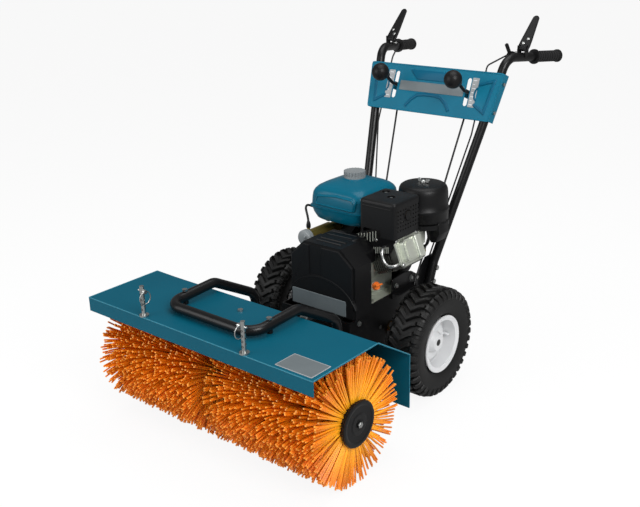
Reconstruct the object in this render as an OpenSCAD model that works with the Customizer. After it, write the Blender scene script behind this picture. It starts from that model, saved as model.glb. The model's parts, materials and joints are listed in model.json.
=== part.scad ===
// Walk-behind power brush sweeper: a two-roll brush under a sheet hood on a swivelling head,
// carried by a two-wheel chassis with a single-cylinder engine, handlebars and a control panel.
// Millimetres. Z is up, forward is -Y, the wheel axle lies over the origin.
// Left and right are the operator's, so left is +X.

/* [Wheels] */
// Diameter over the tyre
wheel_d = 330; // [310:1:350]
// Width of the tyre
tyre_w = 105; // [90:1:120]
// Distance between the tyres' centre planes
track = 530; // [520:1:580]
// Diameter over the rim's flange
rim_d = 174; // [160:1:180]
// Diameter of the wheel axle
axle_d = 20; // [18:0.5:22]
// Chevron lugs around each tyre
lug_count = 20; // [14:1:24]

/* [Brush] */
// Diameter over the bristle tips
brush_d = 350; // [340:1:360]
// Length over both rolls and their end discs
brush_len = 800; // [760:1:804]
// Diameter of the sleeve that carries the bristles
sleeve_d = 112; // [106:1:120]
// Diameter of the end discs
end_disc_d = 124; // [118:1:134]
// Width of the space for the gearbox between the rolls
gear_gap = 80; // [76:1:90]
// Tuft places around a roll, an even number
tufts_round = 24; // [20:2:26]
// Tuft places along a roll, an even number
tufts_along = 18; // [16:2:20]

/* [Hood] */
// Width of the hood
hood_w = 816; // [812:1:840]
// Sheet thickness of the hood
hood_sheet = 2.5; // [2:0.1:3]
// Space between the bristle tips and the hood's top
hood_clear = 19; // [14:1:30]
// Space between the bristle tips and the hood's rear wall
hood_rear_clear = 35; // [30:1:45]
// Height of the hood's front lip
hood_lip = 40; // [30:1:50]

/* [Bumper] */
// Diameter of the bumper tube
bumper_d = 28; // [25:1:30]
// Distance between the bumper's legs
bumper_w = 310; // [280:2:330]
// Distance of the bumper's front bar behind the hood's front
bumper_set_back = 71; // [60:1:90]

/* [Chassis] */
// Width over the chassis side plates
chassis_w = 260; // [252:1:268]
// Reach of the chassis ahead of the wheel axle
chassis_front = 205; // [202:1:215]
// Reach of the chassis behind the wheel axle
chassis_rear = 170; // [165:1:180]
// Height of the chassis plates' lower edge
chassis_low = 80; // [74:1:84]
// Height of the engine deck
deck_z = 262; // [260:1:266]
// Thickness of the chassis plates
plate_t = 4; // [3:0.5:5]
// Diameter of the swivel pins
swivel_pin_d = 16; // [14:1:18]

/* [Engine] */
// Height of the crankshaft
crank_z = 368; // [366:1:372]
// Sideways place of the crankshaft
crank_x = 22; // [18:1:26]
// Tilt of the cylinder above the horizontal, in degrees
cylinder_tilt = 22; // [20:1:24]
// Cooling fins on the cylinder
fin_count = 9; // [6:1:10]
// Diameter of the air filter drum
filter_d = 156; // [148:1:158]
// Diameter of the fuel cap
cap_d = 66; // [60:1:70]

/* [Handles] */
// Diameter of the handlebar tubes
bar_d = 28; // [26:0.5:29]
// Wall of the handlebar tubes
bar_wall = 2; // [1.5:0.1:3]
// Diameter of the grips
grip_d = 35; // [33:0.5:38]
// Length of the grips
grip_len = 118; // [105:1:125]
// Length of the clutch paddles
paddle_len = 122; // [110:1:128]

/* [Control panel] */
// Width of the panel along its lower edge
panel_low_w = 456; // [446:1:464]
// Width of the panel along its upper edge
panel_top_w = 493; // [484:1:500]
// Height of the panel along its face
panel_h = 149; // [140:1:156]
// Distance between the two lever slots
slot_apart = 270; // [250:1:290]
// Length of the lever slots
slot_len = 88; // [84:1:96]
// Diameter of the lever knobs
knob_d = 56; // [48:1:60]

/* [Hidden] */
$fn = 48;

// Clearances that all pieces share
run_gap = 0.05;
sleeve_gap = 0.3;
free_gap = 0.5;
cut_over = 1;
// A bend's wall is a hair thinner than the straight runs that lap over its ends
tube_step = 0.03;
tube_lap = 0.5;

// Main places that follow from the driving sizes
axle_z = wheel_d / 2;
shaft_z = brush_d / 2;
lug_reach = 45;
swivel_y = -(chassis_front + lug_reach);
hood_back_room = 57;
hood_rear_y = swivel_y - hood_back_room;
brush_y = hood_rear_y - hood_rear_clear - brush_d / 2;
hood_front_y = brush_y - brush_d / 2;
hood_top_z = brush_d + hood_clear;
chassis_half = chassis_w / 2;

// Directions and outlines
function unit(v) = v / norm(v);
function side_of(w) = unit(cross(abs(w.z) < abs(w.x) + abs(w.y) ? [0, 0, 1] : [1, 0, 0], w));
function turn_at(p, i) = acos(unit(p[i] - p[i - 1]) * unit(p[i + 1] - p[i]));
function mix(a, b, share) = a + (b - a) * share;
function mirror_x(p) = [for (q = p) [-q.x, q.y, q.z]];
function left_normal(a, b) = [-(b - a).y, (b - a).x] / norm(b - a);
function corner_shift(n1, n2, t) = (n1 + n2) * t / (1 + n1 * n2);
function offset_line(p, t) = [for (i = [0:len(p) - 1])
    i == 0 ? p[0] + left_normal(p[0], p[1]) * t
    : i == len(p) - 1 ? p[i] + left_normal(p[i - 1], p[i]) * t
    : p[i] + corner_shift(left_normal(p[i - 1], p[i]), left_normal(p[i], p[i + 1]), t)];
function offset_loop(p, t) = let (n = len(p)) [for (i = [0:n - 1])
    p[i] + corner_shift(left_normal(p[(i + n - 1) % n], p[i]),
                        left_normal(p[i], p[(i + 1) % n]), t)];
function back(p) = [for (i = [len(p) - 1:-1:0]) p[i]];

module strip(p, t) polygon(concat(p, back(offset_line(p, t))));

module along_x(x0, x1)
    translate([x0, 0, 0]) rotate([90, 0, 90]) linear_extrude(height = x1 - x0) children();
module along_y(y0, y1)
    translate([0, y1, 0]) rotate([90, 0, 0]) linear_extrude(height = y1 - y0) children();
module along_z(z0, z1) translate([0, 0, z0]) linear_extrude(height = z1 - z0) children();

module toward(from, to) {
    w = unit(to - from);
    u = side_of(w);
    v = cross(w, u);
    multmatrix([[u.x, v.x, w.x, from.x], [u.y, v.y, w.y, from.y], [u.z, v.z, w.z, from.z],
                [0, 0, 0, 1]])
        children();
}

module ring(d, wall) difference() {
    circle(d = d);
    if (wall > 0) circle(d = d - 2 * wall);
}

module rod(from, to, d, wall = 0)
    toward(from, to) linear_extrude(height = norm(to - from)) ring(d, wall);

module bend(a, b, c, bend_r, d, wall) {
    d1 = unit(b - a);
    d2 = unit(c - b);
    n = unit(cross(d1, d2));
    m = cross(n, d1);
    angle = acos(d1 * d2);
    start = b - d1 * bend_r * tan(angle / 2);
    centre = start + m * bend_r;
    multmatrix([[-m.x, d1.x, n.x, centre.x], [-m.y, d1.y, n.y, centre.y],
                [-m.z, d1.z, n.z, centre.z], [0, 0, 0, 1]])
        rotate_extrude(angle = angle) translate([bend_r, 0])
            ring(d - 2 * tube_step, wall > 0 ? wall - 2 * tube_step : 0);
}

module bent_rod(p, bend_r, d, wall = 0) {
    last = len(p) - 1;
    cut = [for (i = [0:last]) i == 0 || i == last ? 0 : bend_r * tan(turn_at(p, i) / 2)];
    for (i = [0:last - 1]) {
        dir = unit(p[i + 1] - p[i]);
        from = p[i] + dir * (i == 0 ? 0 : cut[i] - tube_lap);
        rod(from, p[i + 1] - dir * (i + 1 == last ? 0 : cut[i + 1] - tube_lap), d, wall);
    }
    for (i = [1:last - 1]) bend(p[i - 1], p[i], p[i + 1], bend_r, d, wall);
}

module rounded(w, h, r) {
    square([w - 2 * r, h], center = true);
    square([w, h - 2 * r], center = true);
    for (sx = [-1, 1], sy = [-1, 1]) translate([sx * (w / 2 - r), sy * (h / 2 - r)]) circle(r = r);
}

module slot(length, w) {
    square([length - w, w], center = true);
    for (s = [-1, 1]) translate([s * (length - w) / 2, 0]) circle(d = w);
}

// The outline that a band makes around two circles
band_step = 0.1;
module band(p1, r1, p2, r2) {
    gap = p2 - p1;
    lean = atan2(gap.y, gap.x);
    open = acos((r1 - r2) / norm(gap));
    function rim(p, r, a) = p + r * [cos(a), sin(a)];
    translate(p1) circle(r = r1);
    translate(p2) circle(r = r2);
    polygon([rim(p1, r1 - band_step, lean + open), rim(p1, r1 - band_step, lean - open),
             rim(p2, r2 - band_step, lean - open), rim(p2, r2 - band_step, lean + open)]);
}

// A hexagon-headed bolt with its nut, its head seated at the first point
module bolt(head_seat, nut_seat, d) {
    w = unit(nut_seat - head_seat);
    rod(head_seat, nut_seat + w * d, d);
    toward(head_seat, head_seat - w) hexagon(bolt_head_share * d, 2 * d);
    toward(nut_seat, nut_seat + w) hexagon(bolt_nut_share * d, 2 * d);
}
module hexagon(h, d) cylinder(h = h, d = d, $fn = 6);
bolt_head_share = 0.65;
bolt_nut_share = 0.8;
// Room under heads and nuts that sit on leaning tubes
lean_gap = 1.2;

// Wheels
hub_d = 44;
rim_wall = 3;
rim_half = 47;
rim_flange_h = 12;
rim_well_r = rim_d / 2 - rim_flange_h;
rim_face_share = 0.72;
rim_step_share = 0.45;
rim_dish_share = 0.33;
hub_out = 34;
hub_in = 52;
tyre_wall = 9;
tyre_shoulder = 26;
lug_depth = 9;
lug_gap = 15;
lug_start = 6;
lug_angle = 28;
wheel_pin_d = 6;
valve_d = 8;
valve_len = 26;
chain_x = -92;
sprocket_big_r = 36;
sprocket_small_r = 13;
sprocket_t = 6;
sprocket_teeth = 22;
tooth_h = 5;
axle_end = track / 2 + hub_out;
bush_flange_d = 46;
bush_d = 32;
bush_flange_t = 5;

module wheel_frame(s) translate([s * track / 2, 0, axle_z]) mirror([s < 0 ? 1 : 0, 0, 0]) children();
module about_x() rotate([90, 0, 90]) rotate_extrude() children();

module sprocket(r, teeth, hub_r) linear_extrude(height = sprocket_t) {
    circle(r = r);
    for (i = [0:teeth - 1]) rotate(i * 360 / teeth) translate([r, 0])
        square([tooth_h, PI * r / teeth], center = true);
    circle(r = hub_r);
}

module drive_axle() color("dimgray") {
    difference() {
        union() {
            rod([-axle_end, 0, axle_z], [axle_end, 0, axle_z], axle_d);
            translate([chain_x - sprocket_t / 2, 0, axle_z]) rotate([90, 0, 90])
                sprocket(sprocket_big_r, sprocket_teeth, axle_d);
        }
        for (s = [-1, 1])
            cross_pin(s * wheel_pin_x, axle_d, wheel_pin_d + 2 * run_gap);
    }
    for (s = [-1, 1]) cross_pin(s * wheel_pin_x, hub_d / 2 + wheel_pin_d, wheel_pin_d);
}
module cross_pin(x, reach, d) rod([x, 0, axle_z - reach], [x, 0, axle_z + reach], d);
wheel_pin_x = track / 2 - hub_in + wheel_pin_d * 2;

module rim() {
    face_r = rim_well_r * rim_face_share;
    step_r = rim_well_r * rim_step_share;
    valve_r = (face_r + rim_well_r) / 2;
    dish = hub_out * rim_dish_share;
    pin_x = wheel_pin_x - track / 2;
    difference() {
        union() {
            about_x() {
                strip([[rim_d / 2, -rim_half], [rim_well_r, rim_wall - rim_half],
                       [rim_well_r, rim_half - rim_wall], [rim_d / 2, rim_half]], rim_wall);
                strip([[rim_well_r, 0], [face_r, dish], [step_r, dish],
                       [hub_d / 2, hub_out - rim_wall], [axle_d, hub_out - rim_wall]], -rim_wall);
            }
            rod([-hub_in, 0, 0], [hub_out, 0, 0], hub_d);
            rod([0, valve_r, 0], [valve_len, valve_r, 0], valve_d);
        }
        rod([-hub_in - cut_over, 0, 0], [hub_out + cut_over, 0, 0], axle_d + 2 * run_gap);
        rod([pin_x, 0, -hub_d], [pin_x, 0, hub_d], wheel_pin_d + 2 * run_gap);
    }
}

module tyre() {
    bead_r = rim_well_r + sleeve_gap;
    tread = wheel_d / 2 - bead_r;
    difference() {
        about_x() difference() {
            translate([bead_r + tread / 2, 0]) rounded(tread, tyre_w, tyre_shoulder);
            translate([bead_r + tread / 2 - tyre_wall - lug_depth, 0])
                rounded(tread, tyre_w - 2 * tyre_wall, tyre_shoulder - tyre_wall);
            for (s = [-1, 1]) translate([bead_r, s * (rim_half + tyre_w / 2 - rim_wall - sleeve_gap)])
                square([(rim_d / 2 - bead_r + sleeve_gap) * 2, tyre_w], center = true);
        }
        for (i = [0:lug_count - 1], s = [0, 1])
            rotate([(i + s / 2) * 360 / lug_count, 0, 0]) mirror([s, 0, 0])
                translate([-lug_start, 0, wheel_d / 2 - lug_depth]) rotate([0, 0, lug_angle])
                    translate([0, -lug_gap / 2, 0]) cube([tyre_w, lug_gap, lug_depth * 2]);
    }
}

module rim_left() color("gainsboro") wheel_frame(1) rim();
module rim_right() color("gainsboro") wheel_frame(-1) rim();
module tyre_left() color("#222222") wheel_frame(1) tyre();
module tyre_right() color("#222222") wheel_frame(-1) tyre();

module axle_bushes() color("darkgoldenrod") for (s = [-1, 1]) difference() {
    union() {
        rod([s * (chassis_half - plate_t), 0, axle_z], [s * chassis_half, 0, axle_z], bush_d);
        rod([s * chassis_half, 0, axle_z], [s * (chassis_half + bush_flange_t), 0, axle_z], bush_flange_d);
    }
    rod([0, 0, axle_z], [s * chassis_w, 0, axle_z], axle_d + 2 * run_gap);
}

// Chassis
deck_upstand = 16;
chassis_top = deck_z + deck_upstand;
shelf_y = -chassis_front / 2;
lug_edge = 1.5;
lug_t = 10;
lug_w = 44;
carrier_lug_t = 8;
carrier_lug_z = 60;
lug_z = carrier_lug_z + carrier_lug_t + free_gap;
lug_span = lug_z + lug_t + lug_edge;
front_plate_top = shaft_z + lug_span;
front_plate_low = min(chassis_low, shaft_z - lug_span);
front_boss_d = 50;
front_boss_len = 12;
ear_rise = 78;
ear_top = deck_z + ear_rise;
ear_back = 52;
ear_drop = 40;
ear_low = deck_z - ear_drop;
shaft_d = 20;
hex_d = 14;
hex_end_d = 12;
disc_drop = 72;
disc_z = deck_z - disc_drop;
disc_r = 65;
disc_t = 10;
disc_gap = 8;
friction_r = 28;
disc_face_y = shelf_y + disc_gap + disc_t;
hex_y = disc_face_y + friction_r;
rod_d = 6;
guide_t = 6;
guide_w = 34;

module side_plate_outline() polygon([
    [-chassis_front, chassis_low], [chassis_rear - plate_t, chassis_low], [chassis_rear, ear_low],
    [bar_foot.y + ear_back / 2, ear_low], [bar_knee.y + ear_back / 2, ear_top],
    [bar_knee.y - ear_back / 2, ear_top], [bar_foot.y - ear_back, chassis_top],
    [shelf_y - plate_t, chassis_top], [shelf_y - plate_t, front_plate_top],
    [-chassis_front, front_plate_top]]);

module lug_outline() {
    translate([0, swivel_y]) circle(d = lug_w);
    translate([-lug_w / 2, swivel_y]) square([lug_w, lug_reach + plate_t]);
}

module chassis_frame() color("#2b2b2d") difference() {
    union() {
        for (s = [-1, 1]) {
            side_x = s > 0 ? chassis_half - plate_t : -chassis_half;
            low_z = shaft_z + (s > 0 ? lug_z : -lug_z - lug_t);
            along_x(side_x, side_x + plate_t) side_plate_outline();
            along_z(low_z, low_z + lug_t) lug_outline();
        }
        cross_plate(-chassis_front, front_plate_top, front_plate_low);
        cross_plate(shelf_y - plate_t, deck_z);
        cross_plate(chassis_rear - 2 * plate_t, deck_z);
        along_z(deck_z - plate_t, deck_z) translate([-chassis_half, shelf_y - plate_t])
            square([chassis_w, chassis_rear - plate_t - shelf_y]);
        rod([0, -chassis_front, shaft_z], [0, front_boss_len - chassis_front, shaft_z], front_boss_d);
        rod([0, shelf_y - plate_t, disc_z], [0, shelf_y - plate_t - front_boss_len / 2, disc_z],
            front_boss_d);
        along_z(angle_foot.z, angle_foot.z + guide_t)
            translate([chassis_half - plate_t, angle_foot.y - guide_w / 2])
                square([angle_foot.x - chassis_half + plate_t + guide_w / 2, guide_w]);
        along_z(deck_z, speed_foot.z + guide_t)
            translate([speed_foot.x - guide_w / 2, speed_foot.y - guide_t / 2])
                square([guide_w, guide_w / 2]);
    }
    rod([-chassis_w, 0, axle_z], [chassis_w, 0, axle_z], bush_d + 2 * run_gap);
    rod([-chassis_w, hex_y, disc_z], [chassis_w, hex_y, disc_z], hex_end_d + 2 * run_gap);
    rod([0, swivel_y, shaft_z], [0, shelf_y - plate_t - cut_over, shaft_z], shaft_d + 2 * run_gap);
    rod([0, shelf_y - plate_t - front_boss_len, disc_z], [0, shelf_y + cut_over, disc_z],
        shaft_d + 2 * run_gap);
    rod([0, swivel_y, 0], [0, swivel_y, deck_z + lug_w], swivel_pin_d + 2 * run_gap);
    for (p = bar_bolts)
        rod([-chassis_w, p.y, p.z], [chassis_w, p.y, p.z], frame_bolt_d + 2 * run_gap);
    for (p = engine_bolts)
        rod([p.x, p.y, deck_z - 2 * plate_t], [p.x, p.y, deck_z + cut_over], frame_bolt_d + 2 * run_gap);
    for (s = [-1, 1])
        rod([s * cable_foot.x, chassis_rear + cut_over, cable_foot.z],
            [s * cable_foot.x, cable_foot.y - cut_over, cable_foot.z], cable_wire_d + 2 * sleeve_gap);
    rod(angle_eye, rod_end(angle_eye, angle_foot), rod_d + 2 * sleeve_gap);
    rod(speed_eye, rod_end(speed_eye, speed_foot), rod_d + 2 * sleeve_gap);
}
module cross_plate(y, top, low = chassis_low) along_y(y, y + plate_t) translate([-chassis_half, low])
    square([chassis_w, top - low]);

pin_head_d = 26;
pin_head_t = 8;
module swivel_pins() color("silver") for (s = [-1, 1]) {
    inner = shaft_z + s * carrier_lug_z;
    outer = shaft_z + s * (lug_z + lug_t);
    rod([0, swivel_y, inner], [0, swivel_y, outer], swivel_pin_d);
    rod([0, swivel_y, outer], [0, swivel_y, outer + s * pin_head_t], pin_head_d);
}

// Wheel drive inside the chassis
chain_w = 6;
chain_t = 7;
hex_place = [hex_y, disc_z];
axle_place = [0, axle_z];
drive_pulley_r = 48;
belt_set = 40;
belt_pitch = 32;
drive_belt_y = shelf_y - belt_set;
brush_belt_y = drive_belt_y - belt_pitch;
pulley_w = 18;
groove_depth = 11;
belt_t = 9;
belt_w = 11;
crank_pulley_r = 40;
brush_pulley_r = 92;

module drive_chain() color("gray") along_x(chain_x - chain_w / 2, chain_x + chain_w / 2) difference() {
    seat = tooth_h / 2 + sleeve_gap;
    band(axle_place, sprocket_big_r + seat + chain_t, hex_place, sprocket_small_r + seat + chain_t);
    band(axle_place, sprocket_big_r + seat, hex_place, sprocket_small_r + seat);
}

module hex_shaft() color("silver") {
    reach = chassis_half - plate_t - free_gap;
    rod([-chassis_half, hex_y, disc_z], [chassis_half, hex_y, disc_z], hex_end_d);
    translate([-reach, hex_y, disc_z]) rotate([0, 90, 0]) hexagon(2 * reach, hex_d);
    translate([chain_x - sprocket_t / 2, hex_y, disc_z]) rotate([90, 0, 90])
        sprocket(sprocket_small_r, round(sprocket_teeth * sprocket_small_r / sprocket_big_r), hex_d);
}

friction_x = -18;
friction_w = 12;
friction_hub_w = 30;
module friction_wheel() color("#333333") difference() {
    union() {
        rod([friction_x - friction_w / 2, hex_y, disc_z], [friction_x + friction_w / 2, hex_y, disc_z],
            2 * (friction_r - sleeve_gap));
        rod([friction_x - friction_hub_w / 2, hex_y, disc_z],
            [friction_x + friction_hub_w / 2, hex_y, disc_z], 2 * hex_d);
    }
    translate([friction_x - friction_hub_w, hex_y, disc_z]) rotate([0, 90, 0])
        hexagon(2 * friction_hub_w, hex_d + 2 * sleeve_gap);
}

groove_half = belt_w / 2 + free_gap;
module pulley_outline(r) polygon([
    [0, -pulley_w / 2], [r, -pulley_w / 2], [r, -groove_half], [r - groove_depth, -groove_half],
    [r - groove_depth, groove_half], [r, groove_half], [r, pulley_w / 2], [0, pulley_w / 2]]);
module pulley(x, y, z, r) translate([x, y, z]) rotate([90, 0, 0]) rotate_extrude() pulley_outline(r);

module drive_disc() color("lightgray") {
    pulley(0, drive_belt_y, disc_z, drive_pulley_r);
    rod([0, drive_belt_y, disc_z], [0, disc_face_y, disc_z], shaft_d);
    rod([0, disc_face_y - disc_t, disc_z], [0, disc_face_y, disc_z], 2 * disc_r);
}

module belt(y, low, low_r) color("#1d1d1d") along_y(y - belt_w / 2, y + belt_w / 2) difference() {
    seat = sleeve_gap - groove_depth;
    band([crank_x, crank_z], crank_pulley_r + seat + belt_t, low, low_r + seat + belt_t);
    band([crank_x, crank_z], crank_pulley_r + seat, low, low_r + seat);
}
module drive_belt() belt(drive_belt_y, [0, disc_z], drive_pulley_r);
module brush_belt() belt(brush_belt_y, [0, shaft_z], brush_pulley_r);

module crank_pulley() color("gray") {
    for (y = [drive_belt_y, brush_belt_y]) pulley(crank_x, y, crank_z, crank_pulley_r);
    rod([crank_x, brush_belt_y, crank_z], [crank_x, pto_face_y + crank_seat, crank_z], shaft_d);
}

// Brush drive: pulley shaft and pinion shaft meet in a universal joint over the swivel axis
yoke_d = 44;
yoke_r = 22;
yoke_ear_in = 13;
yoke_ear_t = 5;
yoke_ear_w = 16;
yoke_t = 6;
cross_d = 7;
cross_core = 16;
cross_arm = 11;
shaft_end_y = brush_belt_y + pulley_w / 2 + free_gap;

module yoke(s) {
    rod([0, s * yoke_r, 0], [0, s * (yoke_r + yoke_t), 0], yoke_d);
    for (e = [-1, 1]) rotate([0, e * 90, 0]) translate([0, 0, yoke_ear_in]) {
        cylinder(h = yoke_ear_t, d = yoke_ear_w);
        translate([-yoke_ear_w / 2, s > 0 ? 0 : -yoke_r, 0]) cube([yoke_ear_w, yoke_r, yoke_ear_t]);
    }
}

module brush_pulley() color("gray") {
    pulley(0, brush_belt_y, shaft_z, brush_pulley_r);
    rod([0, swivel_y + yoke_r, shaft_z], [0, shaft_end_y, shaft_z], shaft_d);
    translate([0, swivel_y, shaft_z]) {
        rotate([0, 90, 0]) yoke(1);
        rod([0, 0, -yoke_ear_in], [0, 0, yoke_ear_in], cross_d);
        sphere(d = cross_core);
        rod([-cross_arm, 0, 0], [cross_arm, 0, 0], cross_d);
    }
}

pinion_shaft_d = 16;
neck_d = 32;
gear_r = 58;
gear_side_gap = 6;
gear_half = gear_gap / 2 - gear_side_gap;
pinion_in_share = 0.5;
pinion_end_y = brush_y + gear_r * pinion_in_share;
module pinion_shaft() color("gray") {
    rod([0, pinion_end_y, shaft_z], [0, swivel_y - yoke_r, shaft_z], pinion_shaft_d);
    translate([0, swivel_y, shaft_z]) yoke(-1);
}

// Sweeping head
core_shaft_d = 25;
hanger_w = 20;
hanger_len = 62;
flange_w = 96;
flange_t = 8;
flange_pitch = 70;
hood_inner_y = hood_rear_y - hood_sheet;
head_bolt_d = 8;
head_bolt_hole = head_bolt_d + 2 * run_gap;
gear_ring_t = 8;
web_h = 70;
web_t = 10;
module gearbox() color("#3a3a3c") difference() {
    union() {
        rod([-gear_half, brush_y, shaft_z], [gear_half, brush_y, shaft_z], 2 * gear_r);
        rod([-gear_ring_t / 2, brush_y, shaft_z], [gear_ring_t / 2, brush_y, shaft_z],
            2 * (gear_r + gear_ring_t));
        rod([0, brush_y, shaft_z], [0, hood_inner_y, shaft_z], neck_d);
        along_y(hood_inner_y - flange_t, hood_inner_y) translate([0, shaft_z])
            rounded(flange_w, flange_w, flange_t);
        along_x(-web_t / 2, web_t / 2) translate([brush_y, shaft_z - web_h / 2])
            square([hood_inner_y - brush_y - flange_t / 2, web_h]);
        along_x(-hanger_w / 2, hanger_w / 2) translate([brush_y - hanger_len / 3, shaft_z])
            square([hanger_len, hood_top_z - hood_sheet - shaft_z]);
    }
    rod([-gear_gap, brush_y, shaft_z], [gear_gap, brush_y, shaft_z], core_shaft_d + 2 * run_gap);
    rod([0, pinion_end_y - cut_over, shaft_z], [0, hood_rear_y, shaft_z], pinion_shaft_d + 2 * run_gap);
    for (p = flange_bolts) rod([p.x, brush_y, p.y], [p.x, hood_rear_y, p.y], head_bolt_hole);
    rod(hood_bolt + [0, 0, head_bolt_d], hood_bolt - [0, 0, hanger_bolt_len], head_bolt_hole);
}
hanger_bolt_len = 40;
flange_bolts = [for (sx = [-1, 1], sz = [-1, 1]) [sx * flange_pitch / 2, shaft_z + sz * flange_pitch / 2]];
hood_bolt = [0, brush_y + hanger_len / 6, hood_top_z];

carrier_w = 180;
carrier_h = 150;
carrier_t = 8;
carrier_hole_d = 60;
module head_carrier() color("#2b2b2d") difference() {
    union() {
        along_y(hood_rear_y, hood_rear_y + carrier_t) translate([0, shaft_z])
            rounded(carrier_w, carrier_h, carrier_t);
        for (s = [-1, 1]) {
            low_z = shaft_z + (s > 0 ? carrier_lug_z : -carrier_lug_z - carrier_lug_t);
            root_y = hood_rear_y + carrier_t / 2;
            along_z(low_z, low_z + carrier_lug_t) {
                translate([0, swivel_y]) circle(d = lug_w);
                polygon([[-lug_w / 2, swivel_y], [lug_w / 2, swivel_y], [carrier_w / 3, root_y],
                         [-carrier_w / 3, root_y]]);
            }
        }
    }
    rod([0, swivel_y, 0], [0, swivel_y, hood_top_z], swivel_pin_d + 2 * run_gap);
    rod([0, hood_rear_y - cut_over, shaft_z], [0, swivel_y, shaft_z], carrier_hole_d);
    for (p = flange_bolts) rod([p.x, hood_rear_y - cut_over, p.y], [p.x, swivel_y, p.y], head_bolt_hole);
}

hood_fold_back = 73;
hood_fold_y = brush_y + hood_fold_back;
hood_slope_drop = 86;
hood_rear_h = 156;
hood_line = [[hood_front_y, hood_top_z - hood_lip], [hood_front_y, hood_top_z],
             [hood_fold_y, hood_top_z], [hood_rear_y, hood_top_z - hood_slope_drop],
             [hood_rear_y, hood_top_z - hood_slope_drop - hood_rear_h]];
module hood() color("#165c73") difference() {
    along_x(-hood_w / 2, hood_w / 2) strip(hood_line, -hood_sheet);
    rod([0, hood_rear_y + cut_over, shaft_z], [0, hood_inner_y - cut_over, shaft_z], carrier_hole_d);
    for (p = flange_bolts)
        rod([p.x, hood_inner_y - cut_over, p.y], [p.x, hood_rear_y + cut_over, p.y], head_bolt_hole);
    bumper_bolt_holes();
    for (s = [-1, 1])
        rod([s * hitch_x, hitch_y, shaft_z], [s * hitch_x, hitch_y, 2 * hood_top_z], head_bolt_hole);
    rod(hood_bolt - [0, 0, hanger_bolt_len], hood_bolt + [0, 0, hanger_bolt_len], head_bolt_hole);
}
module bumper_bolt_holes() for (x = [-bumper_w / 2, bumper_w / 2]) {
    rod([x, bumper_bolt_y, shaft_z], [x, bumper_bolt_y, 2 * hood_top_z], head_bolt_hole);
    rod([x, hood_inner_y - cut_over, bumper_foot_bolt_z], [x, swivel_y, bumper_foot_bolt_z],
        head_bolt_hole);
}

bumper_front_y = hood_front_y + bumper_set_back;
bumper_lift = 6;
bumper_rise = 7;
bumper_bolt_set = 61;
bumper_fold_set = 8;
bumper_bolt_y = bumper_front_y + bumper_bolt_set;
bumper_bend_r = 45;
bumper_front_z = hood_top_z + bumper_lift + bumper_d / 2;
bumper_top = [bumper_w / 2, hood_fold_y - bumper_fold_set, bumper_front_z + bumper_rise];
bumper_foot_y = hood_rear_y + bumper_d / 2 + free_gap;
bumper_drop = 87;
bumper_foot_len = 118;
bumper_leg = [[bumper_w / 2, bumper_front_y, bumper_front_z], bumper_top,
              [bumper_w / 2, bumper_foot_y, bumper_top.z - bumper_drop],
              [bumper_w / 2, bumper_foot_y, bumper_top.z - bumper_drop - bumper_foot_len]];
bumper_path = concat(back(mirror_x(bumper_leg)), bumper_leg);
bumper_foot_bolt_z = bumper_leg[3].z + bumper_d / 2;
spacer_d = 16;
bumper_wall = 2;
bumper_bolt_share = (bumper_bolt_y - bumper_front_y) / (bumper_top.y - bumper_front_y);
bumper_bolt_z = mix(bumper_front_z, bumper_top.z, bumper_bolt_share);
module bumper() color("#242426") difference() {
    union() {
        bent_rod(bumper_path, bumper_bend_r, bumper_d, bumper_wall);
        for (s = [-1, 1])
            rod([s * bumper_w / 2, bumper_bolt_y, hood_top_z],
                [s * bumper_w / 2, bumper_bolt_y, bumper_bolt_z], spacer_d);
    }
    bumper_bolt_holes();
}

module head_bolts() color("silver") {
    for (s = [-1, 1]) {
        bolt([s * bumper_w / 2, bumper_bolt_y, bumper_bolt_z + bumper_d / 2 + lean_gap],
             [s * bumper_w / 2, bumper_bolt_y, hood_top_z - hood_sheet], head_bolt_d);
        bolt([s * bumper_w / 2, bumper_foot_y + bumper_d / 2 + sleeve_gap, bumper_foot_bolt_z],
             [s * bumper_w / 2, hood_inner_y, bumper_foot_bolt_z], head_bolt_d);
    }
    for (p = flange_bolts)
        bolt([p.x, hood_rear_y + carrier_t, p.y], [p.x, hood_inner_y - flange_t, p.y], head_bolt_d);
    rod(hood_bolt, hood_bolt - [0, 0, hanger_bolt_len - head_bolt_d], head_bolt_d);
    translate(hood_bolt) hexagon(bolt_head_share * head_bolt_d, 2 * head_bolt_d);
}

hitch_d = 12;
hitch_x = 184;
hitch_set = 11;
hitch_y = hood_front_y + hitch_set;
hitch_h = 85;
hitch_base_d = 26;
hitch_base_t = 4;
hitch_hole_d = 5;
hitch_hole_top = 14;
hitch_hole_count = 4;
hitch_hole_pitch = 15;
hitch_nut_t = 8;
module hitch_posts() color("silver") for (s = [-1, 1])
    translate([s * hitch_x, hitch_y, hood_top_z]) hitch_post();
module hitch_post() difference() {
    union() {
        rod([0, 0, -hood_sheet], [0, 0, 0], head_bolt_d);
        rod([0, 0, 0], [0, 0, hitch_h], hitch_d);
        rod([0, 0, 0], [0, 0, hitch_base_t], hitch_base_d);
        translate([0, 0, -hood_sheet - hitch_nut_t]) hexagon(hitch_nut_t, 2 * head_bolt_d);
    }
    for (i = [0:hitch_hole_count - 1]) let (z = hitch_h - hitch_hole_top - i * hitch_hole_pitch)
        rod([-hitch_d, 0, z], [hitch_d, 0, z], hitch_hole_d);
}

linch_d = hitch_hole_d - 2 * run_gap;
linch_head_d = 11;
linch_head_len = 9;
linch_ring_r = 17.5;
linch_wire = 3;
linch_tail = 7;
linch_z = hood_top_z + hitch_h - hitch_hole_top;
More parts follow.
